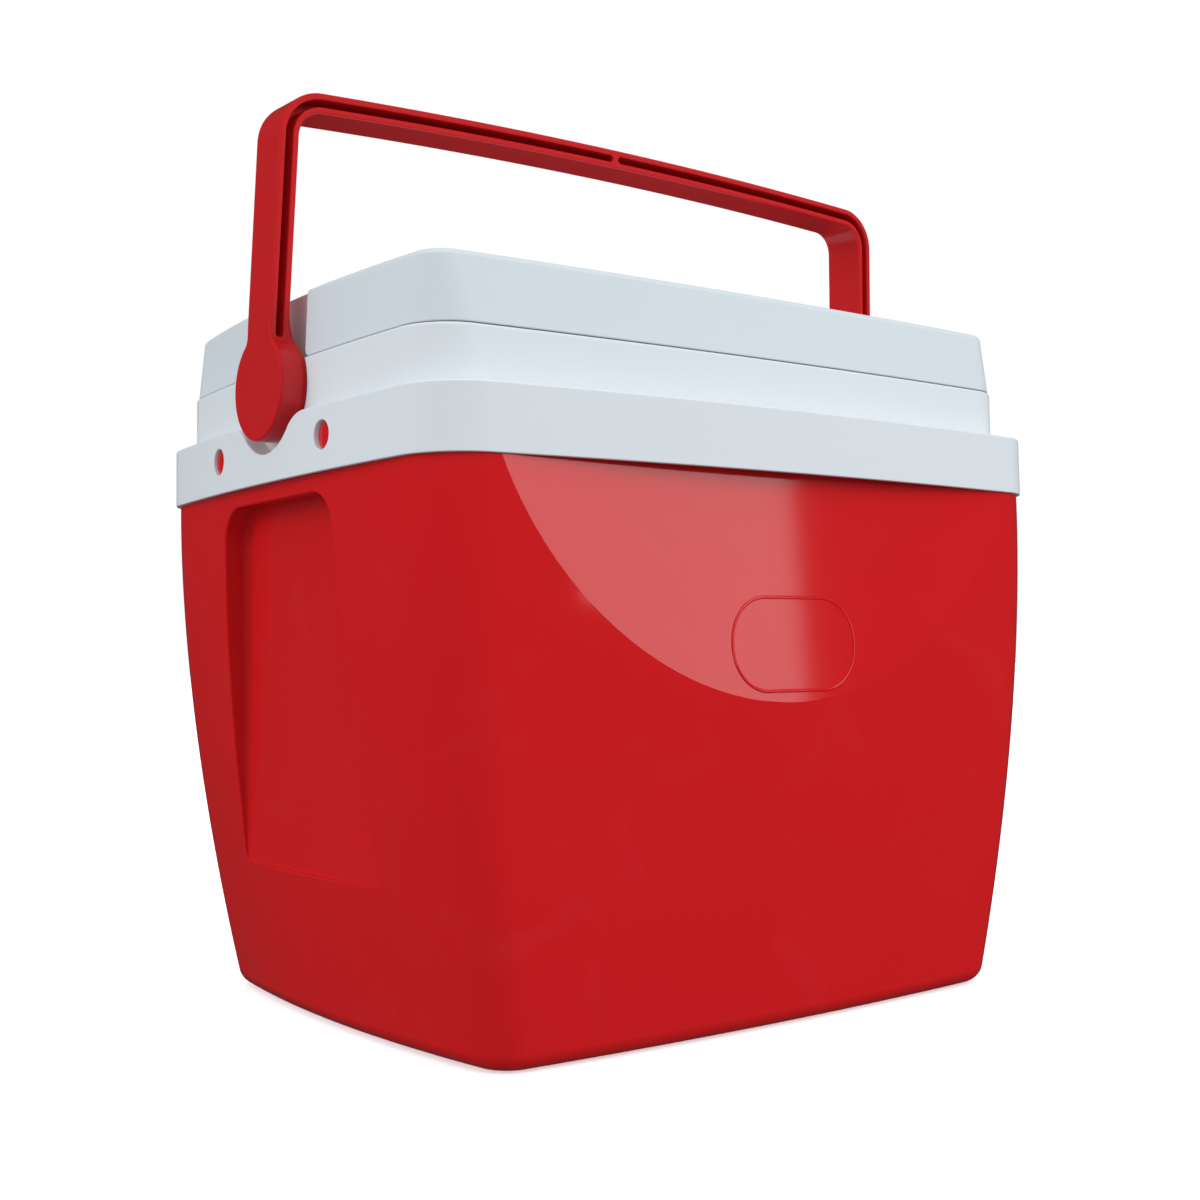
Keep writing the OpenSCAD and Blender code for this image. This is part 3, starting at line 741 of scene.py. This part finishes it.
def lid_block(name, inset, low, high, edge):
    """Tapered block; edge is the rounding of its upper rim, 0 for a plain one."""
    height = LID_TOP - LID_Z

    def f(u, v):
        v = np.clip(v, 0, 3)
        lead = np.clip(v, 0, 1) * math.pi / 2
        bend = np.clip(v - 2, 0, 1) * math.pi / 2
        soft = 0.8 if edge else 0.0
        rise = (high - edge - low - soft) * np.clip(v - 1, 0, 1)
        z = low + soft * (1 - np.cos(lead)) + rise + edge * np.sin(bend)
        e = inset + soft * (1 - np.sin(lead)) + edge * (1 - np.cos(bend))
        x, y = outline(u, lid_spec((z - LID_Z) / height, e))
        return np.stack([x, y, z], -1)

    rows = [0, 0.3, 0.65] if edge else []
    rows = rows + list(np.linspace(1, 2, 14, endpoint=False))
    rows += list(np.linspace(2, 3, 9)) if edge else [2.0]
    shell = Shell()
    p, n = surface(f, np.array(rows))
    shell.patch(p, n, wrap=True)
    shell.cap(p[0], (0, 0, -1))
    return shell, p[-1]


def notch_outline():
    """The notch for the hub, seen from the end: wide below the lid, and opening slightly upwards."""
    foot, top = 347.2, 390
    right = [(31, 340, 0), (31, foot, 0), (25.4, foot, 4.0), (25.8, top, 0)]
    left = [(-y, z, r) for y, z, r in reversed(right)]
    return rounded(right + left, steps=8, long=5)


def make_lid(material):
    shell, ring = lid_block("lid", 0.0, LID_Z, LID_TOP, LID_EDGE)
    sunk = (182.0, 118.7, 16 * ROUND, 5.0, 4.5)
    floor = LID_TOP - 3
    profile, slope = rounded(
        [(6.0, LID_TOP, 0), (0.0, LID_TOP, 1.2), (-0.3, floor, 1.6), (-6.0, floor, 0)], closed=False, steps=6
    )
    rows_p, rows_n = [], []
    for (o, z), (no, nz) in zip(profile[1:], slope[1:]):
        x, y, nx, ny = side(STATIONS, sunk, o)
        rows_p.append(np.stack([x, y, z + 0 * x], -1))
        rows_n.append(np.stack([nx * no, ny * no, nz + 0 * x], -1))
    up = np.zeros_like(ring)
    up[:, 2] = 1
    shell.patch(np.array([ring, rows_p[0]]), np.array([up, up]), wrap=True)
    shell.patch(np.array(rows_p), np.array(rows_n), wrap=True)
    shell.cap(rows_p[-1], (0, 0, 1))
    lid = shell.build("lid")

    def lid_end(y, z):
        a, b, r, s, t = lid_spec((z - LID_Z) / (LID_TOP - LID_Z), 0.0)
        return a + t * (1 - (y / (b - r)) ** 2)

    cavity, top = lid_block("cavity", LID_WALL, LID_Z - 4, floor - LID_WALL, 0.0)
    cavity.cap(top, (0, 0, 1))
    behind = np.array([[-30, 330], [30, 330], [30, 400], [-30, 400.0]])
    cavity = combine(cavity.build("cavity"), prism("grown", behind, NOTCH_X - LID_WALL, FAR_X))
    pts, nrm = notch_outline()
    combine(lid, [cavity] + hollow_tool("notch", pts, nrm, NOTCH_X, lid_end, 0.9, 1.2))
    return finish_piece(lid, "lid_shell", material, "lid", ["lid_cover"])


def make_liner(material):
    plug = (188.6, 126.6, 22 * ROUND, 2.5, 2.0)
    panel = (200.7, 139.7, 25.5 * ROUND, 4.4, 3.9)
    hollow = (186.1, 124.1, 19.5 * ROUND, 2.5, 2.0)
    low = LID_Z - 24
    shell = Shell()
    rows = swept(shell, [
        (plug, -30, -12.0, low, 0), (plug, -30, 0.0, low, 4.0), (plug, -30, 0.0, LID_Z, 1.5),
        (panel, 0, 0.0, LID_Z, 0.5), (panel, 0, 0.0, LID_Z + 2.5, 0.3),
    ], closed=False)
    shell.cap(rows[0], (0, 0, -1))
    shell.cap(rows[-1], (0, 0, 1))
    liner = shell.build("liner")
    inner = Shell()
    rows = swept(inner, [
        (hollow, 0, -2.5, low + 2.5, 0), (hollow, 0, 0.0, low + 5, 0), (hollow, 0, 0.0, LID_Z + 6, 0),
    ], closed=False)
    inner.cap(rows[0], (0, 0, -1))
    inner.cap(rows[-1], (0, 0, 1))
    slot = np.array([[-30.4, 340], [30.4, 340], [30.4, 360], [-30.4, 360.0]])
    combine(liner, [inner.build("inner")] + prism("slot", slot, NOTCH_X - 2.9, FAR_X))
    return finish_piece(liner, "liner_shell", material, "lid", ["lid_liner"])


# ---------------------------------------------------------------- inner tub
TUB_WALL = 2.5
TUB_FLOOR = 30.0
TUB_RIM = SHELF_Z + 1.0  # where the wall turns out into the flange
FLANGE_TOP = SHELF_Z + 2.5
FLANGE_UNDER = SHELF_Z + 0.1
RIM_R = 1.5
FLANGE_EDGE = 0.8


def tub_spec(z, w):
    """Outline of the tub at height z, w outside its inner face."""
    m = (SHELF_Z - z) / (SHELF_Z - TUB_FLOOR)
    return TUB[0] - 39 * m + w, TUB[1] - 12 * m + w, (24 + w) * ROUND, 2.5, 2.0


def tub_wall(w, floor, fillet):
    """Surface w outside the inner face, with a fillet above its floor for v below 1."""
    def f(u, v):
        v = np.clip(v, 0, 2)
        angle = np.clip(v, 0, 1) * math.pi / 2
        up = floor + fillet + (TUB_RIM - floor - fillet) * (v - 1)
        z = np.where(v < 1, floor + fillet * (1 - np.cos(angle)), up)
        x, y = outline(u, tub_spec(z, w - fillet * (1 - np.sin(angle))))
        return np.stack([x, y, z], -1)

    return f


def make_tub(material):
    shell = Shell()
    rows = slices(10)
    p_in, n_in = surface(tub_wall(0.0, TUB_FLOOR, 12.0), rows)
    shell.patch(p_in, -n_in, wrap=True)
    shell.cap(p_in[0], (0, 0, 1))
    mouth = tub_spec(np.array(TUB_RIM), 0.0)
    x, y = outline(STATIONS, mouth)
    nx, ny = side(STATIONS, mouth)[2:]
    rim_p, rim_n = [], []
    for t in spread(np.linspace(0, 90, 6)):
        o = RIM_R * (1 - math.cos(t))
        rim_p.append(np.stack([x + o * nx, y + o * ny, TUB_RIM + RIM_R * math.sin(t) + 0 * x], -1))
        rim_n.append(np.stack([-nx * math.cos(t), -ny * math.cos(t), math.sin(t) + 0 * x], -1))
    shell.patch(np.array(rim_p), np.array(rim_n), wrap=True)
    fx, fy, fnx, fny = side(STATIONS, (202.1, 140.1, 25.6 * ROUND, 5.0, 4.5))
    top_p, top_n = [rim_p[-1]], [rim_n[-1]]
    for t in spread(np.linspace(0, 90, 5)):
        o = -FLANGE_EDGE * (1 - math.sin(t))
        z = FLANGE_TOP - FLANGE_EDGE * (1 - math.cos(t))
        top_p.append(np.stack([fx + o * fnx, fy + o * fny, z + 0 * fx], -1))
        top_n.append(np.stack([fnx * math.sin(t), fny * math.sin(t), math.cos(t) + 0 * fx], -1))
    top_p.append(np.stack([fx, fy, FLANGE_UNDER + 0 * fx], -1))
    top_n.append(top_n[-1])
    shell.patch(np.array(top_p), np.array(top_n), wrap=True)
    p_out, n_out = surface(tub_wall(TUB_WALL, TUB_FLOOR - TUB_WALL, 14.0), rows)
    p_out, n_out = p_out[:-1], n_out[:-1]
    x, y = outline(STATIONS, tub_spec(np.array(FLANGE_UNDER), TUB_WALL))
    neck = np.stack([x, y, FLANGE_UNDER + 0 * x], -1)
    under = np.zeros_like(neck)
    under[:, 2] = -1
    shell.patch(np.concatenate([p_out, [neck]]), np.concatenate([n_out, [n_out[-1]]]), wrap=True)
    shell.patch(np.array([neck, top_p[-1]]), np.array([under, under]), wrap=True)
    shell.cap(p_out[0], (0, 0, -1))
    tub = shell.build("tub")
    combine(tub, [rod(197.9, FAR_X, 0, PIVOT_Z, 18.5, SHARP, s, cut=True) for s in (1, -1)])
    return finish_piece(tub, "tub_shell", material, "box", ["inner_tub"])


# ---------------------------------------------------------------- handle
HUB_FACE = 223.0
STRAP = 11.0  # thickness of arms and grip
HUB_W = 15.0
GRIP_OUT = 161.5  # top of the grip above the pivot, before it leans
ARM_LEAN = 3.5
BAIL_R = 25.0
ARCH = 6.0  # rise of the grip's middle
ARM_HALF = 14.25
GRIP_HALF = 14.5
BEND_Z = 30.0
HUB_LEVEL = 15.0
HUB_RAMP = 24.0
HANDLE_LEAN = 3.0  # degrees towards the front
EDGE = 1.25
GROOVE_FOOT = 25.5  # distances along the strap
GROOVE_R = 1.9
GROOVE_FLOOR = 2.0  # half the web between the front and back grooves
GROOVE_LIP = 0.75
MID_RIB = 2.2  # half the rib in the middle of the grip

ARM_TOP_X = HUB_FACE - ARM_LEAN
ARCH_R = (ARM_TOP_X**2 + ARCH**2) / (2 * ARCH)
CORNER_X = ARM_TOP_X - BAIL_R
CORNER_Z = math.sqrt((ARCH_R - BAIL_R) ** 2 - CORNER_X**2) - (ARCH_R - GRIP_OUT)
ARCH_TURN = math.asin(CORNER_X / (ARCH_R - BAIL_R))


def lean_angle():
    """Inward lean of the arms that meets both the hub and the grip's corner, by halving."""
    low, high = 0.0, 0.1
    for _ in range(60):
        mid = (low + high) / 2
        gap = (HUB_FACE - CORNER_X) * math.cos(mid) - (CORNER_Z - BEND_Z) * math.sin(mid) - BAIL_R
        low, high = (mid, high) if gap > 0 else (low, mid)
    return low


LEAN = lean_angle()
BLEND = 14.0  # half length of the soft bend above the hub
BEND_R = BLEND / math.tan(LEAN / 2)
S1 = BEND_Z - BLEND
S2 = S1 + BEND_R * LEAN
ARC_START = np.array([CORNER_X + BAIL_R * math.cos(LEAN), CORNER_Z + BAIL_R * math.sin(LEAN)])
S3 = S2 + float(np.linalg.norm(ARC_START - np.array([HUB_FACE, BEND_Z]))) - BLEND
S4 = S3 + BAIL_R * (math.pi / 2 - ARCH_TURN - LEAN)
S5 = S4 + ARCH_R * ARCH_TURN


def bail(s):
    """Point of the handle's outer line at length s from the pivot, its direction and its outward normal."""
    s = np.asarray(s, float)
    a2 = np.clip((s - S1) / BEND_R, 0, LEAN)
    corner, arch = LEAN + (s - S3) / BAIL_R, math.pi / 2 - ARCH_TURN + (s - S4) / ARCH_R
    angle = np.where(s < S3, a2, np.where(s < S4, corner, arch))
    x1, z1 = HUB_FACE + 0 * s, s
    x2, z2 = HUB_FACE - BEND_R * (1 - np.cos(a2)), S1 + BEND_R * np.sin(a2)
    x3 = ARC_START[0] + (S3 - s) * math.sin(LEAN)
    z3 = ARC_START[1] - (S3 - s) * math.cos(LEAN)
    a4 = np.clip(LEAN + (s - S3) / BAIL_R, LEAN, math.pi / 2 - ARCH_TURN)
    x4, z4 = CORNER_X + BAIL_R * np.cos(a4), CORNER_Z + BAIL_R * np.sin(a4)
    a5 = ARCH_TURN - (s - S4) / ARCH_R
    x5, z5 = ARCH_R * np.sin(a5), ARCH_R * np.cos(a5) - (ARCH_R - GRIP_OUT)
    stretches = [s < S1, s < S2, s < S3, s < S4]
    x = np.select(stretches, [x1, x2, x3, x4], x5)
    z = np.select(stretches, [z1, z2, z3, z4], z5)
    ahead = np.stack([-np.sin(angle), 0 * s, np.cos(angle)], -1)
    out = np.stack([np.cos(angle), 0 * s, np.sin(angle)], -1)
    return np.stack([x, 0 * s, z + PIVOT_Z], -1), ahead, out


NECK_R = 7.0
NECK_Z = math.sqrt((HUB_R + NECK_R) ** 2 - (ARM_HALF + NECK_R) ** 2)
NECK_TURN = math.atan2(ARM_HALF + NECK_R, NECK_Z)


def strap_half(s):
    """Half width of the strap at s, above the neck."""
    return ARM_HALF + (GRIP_HALF - ARM_HALF) * np.clip((s - NECK_Z) / (S3 - NECK_Z), 0, 1)


def handle_stations():
    """Outline of one half of the unrolled handle: s, half width, and the normal in that plane."""
    rows = []
    for t in spread(np.linspace(-90, 90 - math.degrees(NECK_TURN), 34)):
        rows.append((HUB_R * math.sin(t), HUB_R * math.cos(t), math.sin(t), math.cos(t)))
    for t in np.linspace(NECK_TURN, math.pi / 2, 9)[1:]:
        half = ARM_HALF + NECK_R - NECK_R * math.sin(t)
        rows.append((NECK_Z - NECK_R * math.cos(t), half, math.cos(t), math.sin(t)))
    ss = np.concatenate([
        np.arange(NECK_Z + 3, S3, 5.0), np.linspace(S3, S4, 26), np.linspace(S4, S5, 60)[1:],
    ])
    for s in ss:
        rows.append((s, float(strap_half(s)), 0.0, 1.0))
    return np.array(rows)


def handle_blank():
    """The whole handle without its grooves: strips across the strap, from one edge round to the other."""
    s, w, ns, nw = handle_stations().T
    step = np.clip((s - HUB_LEVEL) / HUB_RAMP, 0, 1)
    thick = HUB_W - (HUB_W - STRAP) * step * step * (3 - 2 * step)
    fall = -(HUB_W - STRAP) * 6 * step * (1 - step) / HUB_RAMP
    cols = []
    for t in spread(np.linspace(0, 90, 7)):
        deep = EDGE * (1 - math.cos(t)) + 0 * s
        cols.append((EDGE * (1 - math.sin(t)), deep, math.cos(t), math.sin(t), False))
    for t in spread(np.linspace(0, 90, 7)):
        deep = thick - EDGE * (1 - math.sin(t))
        cols.append((EDGE * (1 - math.cos(t)), deep, -math.sin(t), math.cos(t), True))
    grid_p, grid_n = [], []
    for sign in (1, -1):
        part_p, part_n = [], []
        for o, d, cd, cw, inner in cols:
            ss, ww = s - o * ns, np.maximum(w - o * nw, 0)
            p, ahead, out = bail(ss)
            nrm = cd * out + cw * (ns[:, None] * ahead + nw[:, None] * np.array([0, sign, 0]))
            if inner:
                nrm = nrm + cd * fall[:, None] * ahead
            part_p.append(p - out * d[:, None] + np.stack([0 * ss, sign * ww, 0 * ss], -1))
            part_n.append(unit(nrm))
        if sign < 0:
            part_p, part_n = part_p[::-1], part_n[::-1]
        grid_p += part_p
        grid_n += part_n
    half = Shell()
    half.patch(np.swapaxes(np.array(grid_p), 0, 1), np.swapaxes(np.array(grid_n), 0, 1), wrap=True)
    return Shell().add(half).add(half.mirrored_x()).build("handle", merge=2e-3)


def groove_tools():
    """Cutters for the four grooves: both halves of the handle, front and back."""
    half = (STRAP / 3 - 0.35) / 2 + 0.35
    low, high = STRAP / 2 - half, STRAP / 2 + half
    stop = S5 - MID_RIB
    pts, nrm = rounded(
        [(GROOVE_FOOT, high, GROOVE_R), (GROOVE_FOOT, low, GROOVE_R),
         (stop, low, GROOVE_R), (stop, high, GROOVE_R)],
        steps=8, long=4.0,
    )
    rows_p, rows_n = [], []

    def row(o, y, ny, nn):
        ss, dd = pts[:, 0] + o * nrm[:, 0], pts[:, 1] + o * nrm[:, 1]
        base, ahead, out = bail(ss)
        yy = y(ss) if callable(y) else y + 0 * ss
        rows_p.append(base - out * dd[:, None] + np.stack([0 * ss, yy, 0 * ss], -1))
        rows_n.append(ny * np.array([0, 1.0, 0]) + nn * (nrm[:, :1] * ahead - nrm[:, 1:] * out))

    for t in spread(np.linspace(0, 90, 5)):
        row(-0.9 * (1 - math.sin(t)), GROOVE_FLOOR + 0.9 * (1 - math.cos(t)), math.cos(t), -math.sin(t))
    lip = GROOVE_LIP
    for t in spread(LIP_STEPS):
        top = LIP_LIFT + lip * (1 - math.sin(LIP_END)) if t == LIP_END else 0.0
        row(lip * (1 - math.cos(t)), lambda q, t=t, top=top: strap_half(q) - lip * (1 - math.sin(t)) + top,
            math.sin(t), -math.cos(t))
    row(lip * (1 - math.cos(LIP_END)), 20.0, 0.0, -1.0)
    cutter = Shell()
    cutter.patch(np.array(rows_p), np.array(rows_n), wrap=True, back=True)
    close_strip(cutter, rows_p[0], pts, np.array([0, 1.0, 0]), True)
    close_strip(cutter, rows_p[-1], pts, np.array([0, -1.0, 0]), True)
    shells = (cutter, cutter.mirrored_x(), cutter.mirrored_y(), cutter.mirrored_x().mirrored_y())
    return [shell.build("groove") for shell in shells]


def make_handle(material):
    handle = combine(handle_blank(), groove_tools())
    stub_root, stub_end = HUB_FACE - HUB_W + 1, HUB_FACE - HUB_W - 8.5
    combine(handle, [rod(-stub_root, -stub_end, 0, PIVOT_Z, STUB_R, 0.8, s) for s in (-1, 1)], "UNION")
    lean_forward(handle.data)
    return finish_piece(handle, "handle_bail", material, "handle", ["handle"])


def lean_forward(me):
    """Turns the upright handle about its pivot, with its normals."""
    t = math.radians(HANDLE_LEAN)
    turn = np.array([[1, 0, 0], [0, math.cos(t), -math.sin(t)], [0, math.sin(t), math.cos(t)]])
    co = np.zeros(len(me.vertices) * 3)
    me.vertices.foreach_get("co", co)
    pivot = np.array([0, 0, PIVOT_Z])
    me.vertices.foreach_set("co", ((co.reshape(-1, 3) - pivot) @ turn.T + pivot).astype(np.float32).ravel())
    normals = np.zeros(len(me.loops) * 3, np.float32)
    me.attributes["nrm"].data.foreach_get("vector", normals)
    turned = (normals.reshape(-1, 3) @ turn.T).astype(np.float32)
    me.attributes["nrm"].data.foreach_set("vector", turned.ravel())


def close_strip(shell, ring, pts, normal, back):
    """Closes a long bent ring by joining its two long sides."""
    order = np.arange(len(ring))
    mid = (pts[:, 1].min() + pts[:, 1].max()) / 2
    first = int(np.argmin(pts[:, 0] + 1e-6 * np.abs(pts[:, 1] - mid)))
    order = np.roll(order, -first)
    n = len(order)
    a, b = 1, n - 1
    faces = [[order[0], order[1], order[b]]]
    while b - a > 2:
        faces.append([order[a], order[a + 1], order[b - 1], order[b]])
        a += 1
        b -= 1
    if b - a == 2:
        faces.append([order[a], order[a + 1], order[b]])
    base = shell.count
    shell.points.append(ring)
    shell.normals.append(np.broadcast_to(normal, ring.shape).copy())
    tri = faces[len(faces) // 2]
    fn = np.cross(ring[tri[1]] - ring[tri[0]], ring[tri[2]] - ring[tri[0]])
    flip = ((fn @ normal) < 0) != back
    for f in faces:
        f = [int(i) + base for i in f]
        shell.faces.append(f[::-1] if flip else f)
    shell.count += len(ring)


# ---------------------------------------------------------------- materials
def new_node(tree, kind, **values):
    """Adds a node and sets its inputs; an underscore in a name stands for a space."""
    node = tree.nodes.new("ShaderNode" + kind)
    for key, value in values.items():
        node.inputs[key.replace("_", " ")].default_value = value
    return node


def tint(colour):
    return (*np.clip(colour, 0, 1), 1)


def plastic(name, colour, rough, coat, spec, mottle, grain, grain_scale, worn=0.0, sub=0.0):
    """Moulded plastic: faint mottling, fine grain, slight unevenness of gloss, pale scuffs."""
    m = bpy.data.materials.new(name)
    m.use_nodes = True
    tree = m.node_tree
    link = tree.links.new
    b = tree.nodes["Principled BSDF"]
    b.inputs["Specular IOR Level"].default_value = spec
    b.inputs["Coat Weight"].default_value = coat
    b.inputs["Coat Roughness"].default_value = 0.06
    if sub:
        b.inputs["Subsurface Weight"].default_value = sub
        b.inputs["Subsurface Radius"].default_value = (1.0, 1.0, 1.0)
        b.inputs["Subsurface Scale"].default_value = 0.002
    place = new_node(tree, "TexCoord").outputs["Object"]

    def noise(**values):
        node = new_node(tree, "TexNoise", **values)
        link(place, node.inputs["Vector"])
        return node.outputs["Fac"]

    c = np.array(colour)
    tone = tree.nodes.new("ShaderNodeMix")
    tone.data_type = "RGBA"
    tone.inputs["A"].default_value = tint(c * (1 - mottle))
    tone.inputs["B"].default_value = tint(c * (1 + mottle))
    link(noise(Scale=9.0, Detail=5.0), tone.inputs["Factor"])
    ramp = new_node(tree, "MapRange", From_Min=0.58, From_Max=0.80, To_Min=0.0, To_Max=worn)
    link(noise(Scale=22.0, Detail=8.0, Distortion=0.6), ramp.inputs["Value"])
    rub = tree.nodes.new("ShaderNodeMix")
    rub.data_type = "RGBA"
    rub.inputs["B"].default_value = tint(c * 0.92 + 0.05)
    link(ramp.outputs["Result"], rub.inputs["Factor"])
    link(tone.outputs["Result"], rub.inputs["A"])
    link(rub.outputs["Result"], b.inputs["Base Color"])
    gloss = new_node(tree, "MapRange", To_Min=rough * 0.9, To_Max=rough * 1.12)
    link(noise(Scale=35.0, Detail=6.0), gloss.inputs["Value"])
    link(gloss.outputs["Result"], b.inputs["Roughness"])
    bump = new_node(tree, "Bump", Strength=grain, Distance=0.0004)
    link(noise(Scale=grain_scale, Detail=3.0), bump.inputs["Height"])
    link(bump.outputs["Normal"], b.inputs["Normal"])
    return m


RED = plastic("red_body_plastic", (0.640, 0.0125, 0.0145), 0.065, 0.15, 0.35, 0.035, 0.02, 900, 0.10)
RED_HANDLE = plastic("red_handle_plastic", (0.590, 0.0095, 0.0120), 0.26, 0.12, 0.30, 0.04, 0.05, 1100, 0.10)
WHITE = plastic(
    "white_collar_plastic", (0.745, 0.790, 0.815), 0.30, 0.05, 0.30, 0.010, 0.03, 1000, worn=0.10, sub=0.08
)
LID_WHITE = plastic(
    "white_lid_plastic", (0.650, 0.708, 0.740), 0.34, 0.0, 0.15, 0.010, 0.03, 1000, worn=0.10, sub=0.08
)
TUB_WHITE = plastic(
    "white_tub_plastic", (0.750, 0.790, 0.810), 0.28, 0.12, 0.40, 0.012, 0.03, 800, worn=0.10, sub=0.08
)
FOAM = plastic("foam_plastic", (0.80, 0.81, 0.80), 0.85, 0.0, 0.25, 0.05, 0.6, 260)

BODY = make_body(RED)
make_collar(WHITE)
make_lid(LID_WHITE)
make_liner(TUB_WHITE)
make_tub(TUB_WHITE)
make_handle(RED_HANDLE)
for node in ("body_insulation", "lid_insulation"):
    ob = frame["nodes"][node]
    ob.data.materials.clear()
    ob.data.materials.append(FOAM)


# ---------------------------------------------------------------- floor, light, camera
SKY = (0.93, 0.96, 1.0, 1)


def add_object(name, data):
    ob = bpy.data.objects.new(name, data)
    bpy.context.scene.collection.objects.link(ob)
    return ob


def placed(x, y, z, place):
    """Matrix with these axes at this place."""
    rows = [[x[k], y[k], z[k], place[k]] for k in range(3)]
    return Matrix(rows + [[0, 0, 0, 1]])


def floor():
    """Pale floor that is neither reflected nor bounces light, so that it leaves the tones alone."""
    me = bpy.data.meshes.new("studio_floor")
    me.from_pydata([(-30, -30, 0), (30, -30, 0), (30, 30, 0), (-30, 30, 0)], [], [(0, 1, 2, 3)])
    ob = add_object("studio_floor", me)
    ob.location.z = -0.0004
    m = bpy.data.materials.new("studio_floor")
    m.use_nodes = True
    b = m.node_tree.nodes["Principled BSDF"]
    b.inputs["Base Color"].default_value = (0.86, 0.86, 0.86, 1)
    b.inputs["Roughness"].default_value = 0.9
    b.inputs["Specular IOR Level"].default_value = 0.1
    me.materials.append(m)
    ob.visible_glossy = ob.visible_diffuse = False
    return ob


def area_light(name, place, aim, size, power, diffuse=True, glossy=False):
    data = bpy.data.lights.new(name, "AREA")
    data.shape = "RECTANGLE"
    data.size, data.size_y = size
    data.energy = power
    ob = add_object(name, data)
    z = unit(np.array(place) - np.array(aim))
    x = unit(np.cross([0, 0, 1.0], z))
    ob.matrix_world = placed(x, np.cross(z, x), z, place)
    ob.visible_diffuse, ob.visible_glossy = diffuse, glossy
    return ob


def shine_only_on(light, target):
    """Links a light to one object, so that nothing else receives it."""
    group = bpy.data.collections.new(light.name + "_receiver")
    group.objects.link(target)
    light.light_linking.receiver_collection = group


def floor_sun(strength, ground):
    """Light straight down that whitens the floor to the horizon."""
    data = bpy.data.lights.new("floor_sun", "SUN")
    data.energy = strength
    data.angle = math.radians(60)
    data.use_shadow = False
    shine_only_on(add_object("floor_sun", data), ground)


def world():
    """White behind the object, almost black in reflections, and brighter from above for soft light."""
    w = bpy.data.worlds.new("studio")
    bpy.context.scene.world = w
    w.use_nodes = True
    tree = w.node_tree
    link = tree.links.new
    sky = tree.nodes["Background"]
    sky.inputs["Color"].default_value = SKY
    height = new_node(tree, "SeparateXYZ")
    level = new_node(tree, "MapRange", From_Min=-0.35, From_Max=0.35, To_Min=0.34, To_Max=1.0)
    link(new_node(tree, "TexCoord").outputs["Generated"], height.inputs[0])
    link(height.outputs["Z"], level.inputs["Value"])
    link(level.outputs["Result"], sky.inputs["Strength"])
    reflected = new_node(tree, "Background", Color=SKY, Strength=0.03)
    seen = new_node(tree, "Background", Color=(1, 1, 1, 1), Strength=1.0)
    path = new_node(tree, "LightPath")
    out = sky.outputs["Background"]
    for ray, shown in (("Is Glossy Ray", reflected), ("Is Camera Ray", seen)):
        mix = new_node(tree, "MixShader")
        link(path.outputs[ray], mix.inputs["Fac"])
        link(out, mix.inputs[1])
        link(shown.outputs["Background"], mix.inputs[2])
        out = mix.outputs["Shader"]
    link(out, tree.nodes["World Output"].inputs["Surface"])


def camera():
    """The photo's viewpoint, in metres and radians, from the fit of a perspective camera."""
    place = (-0.57067, -0.75106, 0.188946)
    yaw, pitch, roll = 0.6261111, 0.0651011, -0.0148313
    fwd = np.array([math.sin(yaw) * math.cos(pitch), math.cos(yaw) * math.cos(pitch), math.sin(pitch)])
    right = np.array([math.cos(yaw), -math.sin(yaw), 0.0])
    up = np.cross(right, fwd)
    x = math.cos(roll) * right + math.sin(roll) * up
    y = -math.sin(roll) * right + math.cos(roll) * up
    data = bpy.data.cameras.new("camera")
    data.sensor_width = 36.0
    data.lens = 47.081
    data.shift_x = 0.03104
    data.shift_y = -0.03439
    data.clip_start = 0.01
    data.clip_end = 200.0
    ob = add_object("camera", data)
    ob.matrix_world = placed(x, y, -fwd, place)
    bpy.context.scene.camera = ob


GROUND = floor()
world()
camera()
area_light("front_softbox", (1.15, -2.15, 1.3), (0.0, 0.0, 0.2), (2.0, 1.6), 28)
area_light("left_softbox", (-2.4, 0.4, 1.1), (0.0, 0.0, 0.25), (1.6, 1.8), 19)
panel_card = area_light(
    "panel_softbox", (1.477, -2.215, 1.06), (-0.028, -0.184, 1.03), (0.80, 1.76), 11.5,
    diffuse=False, glossy=True,
)
shine_only_on(panel_card, BODY)
floor_sun(2.6, GROUND)
bpy.context.scene.view_settings.view_transform = "Standard"
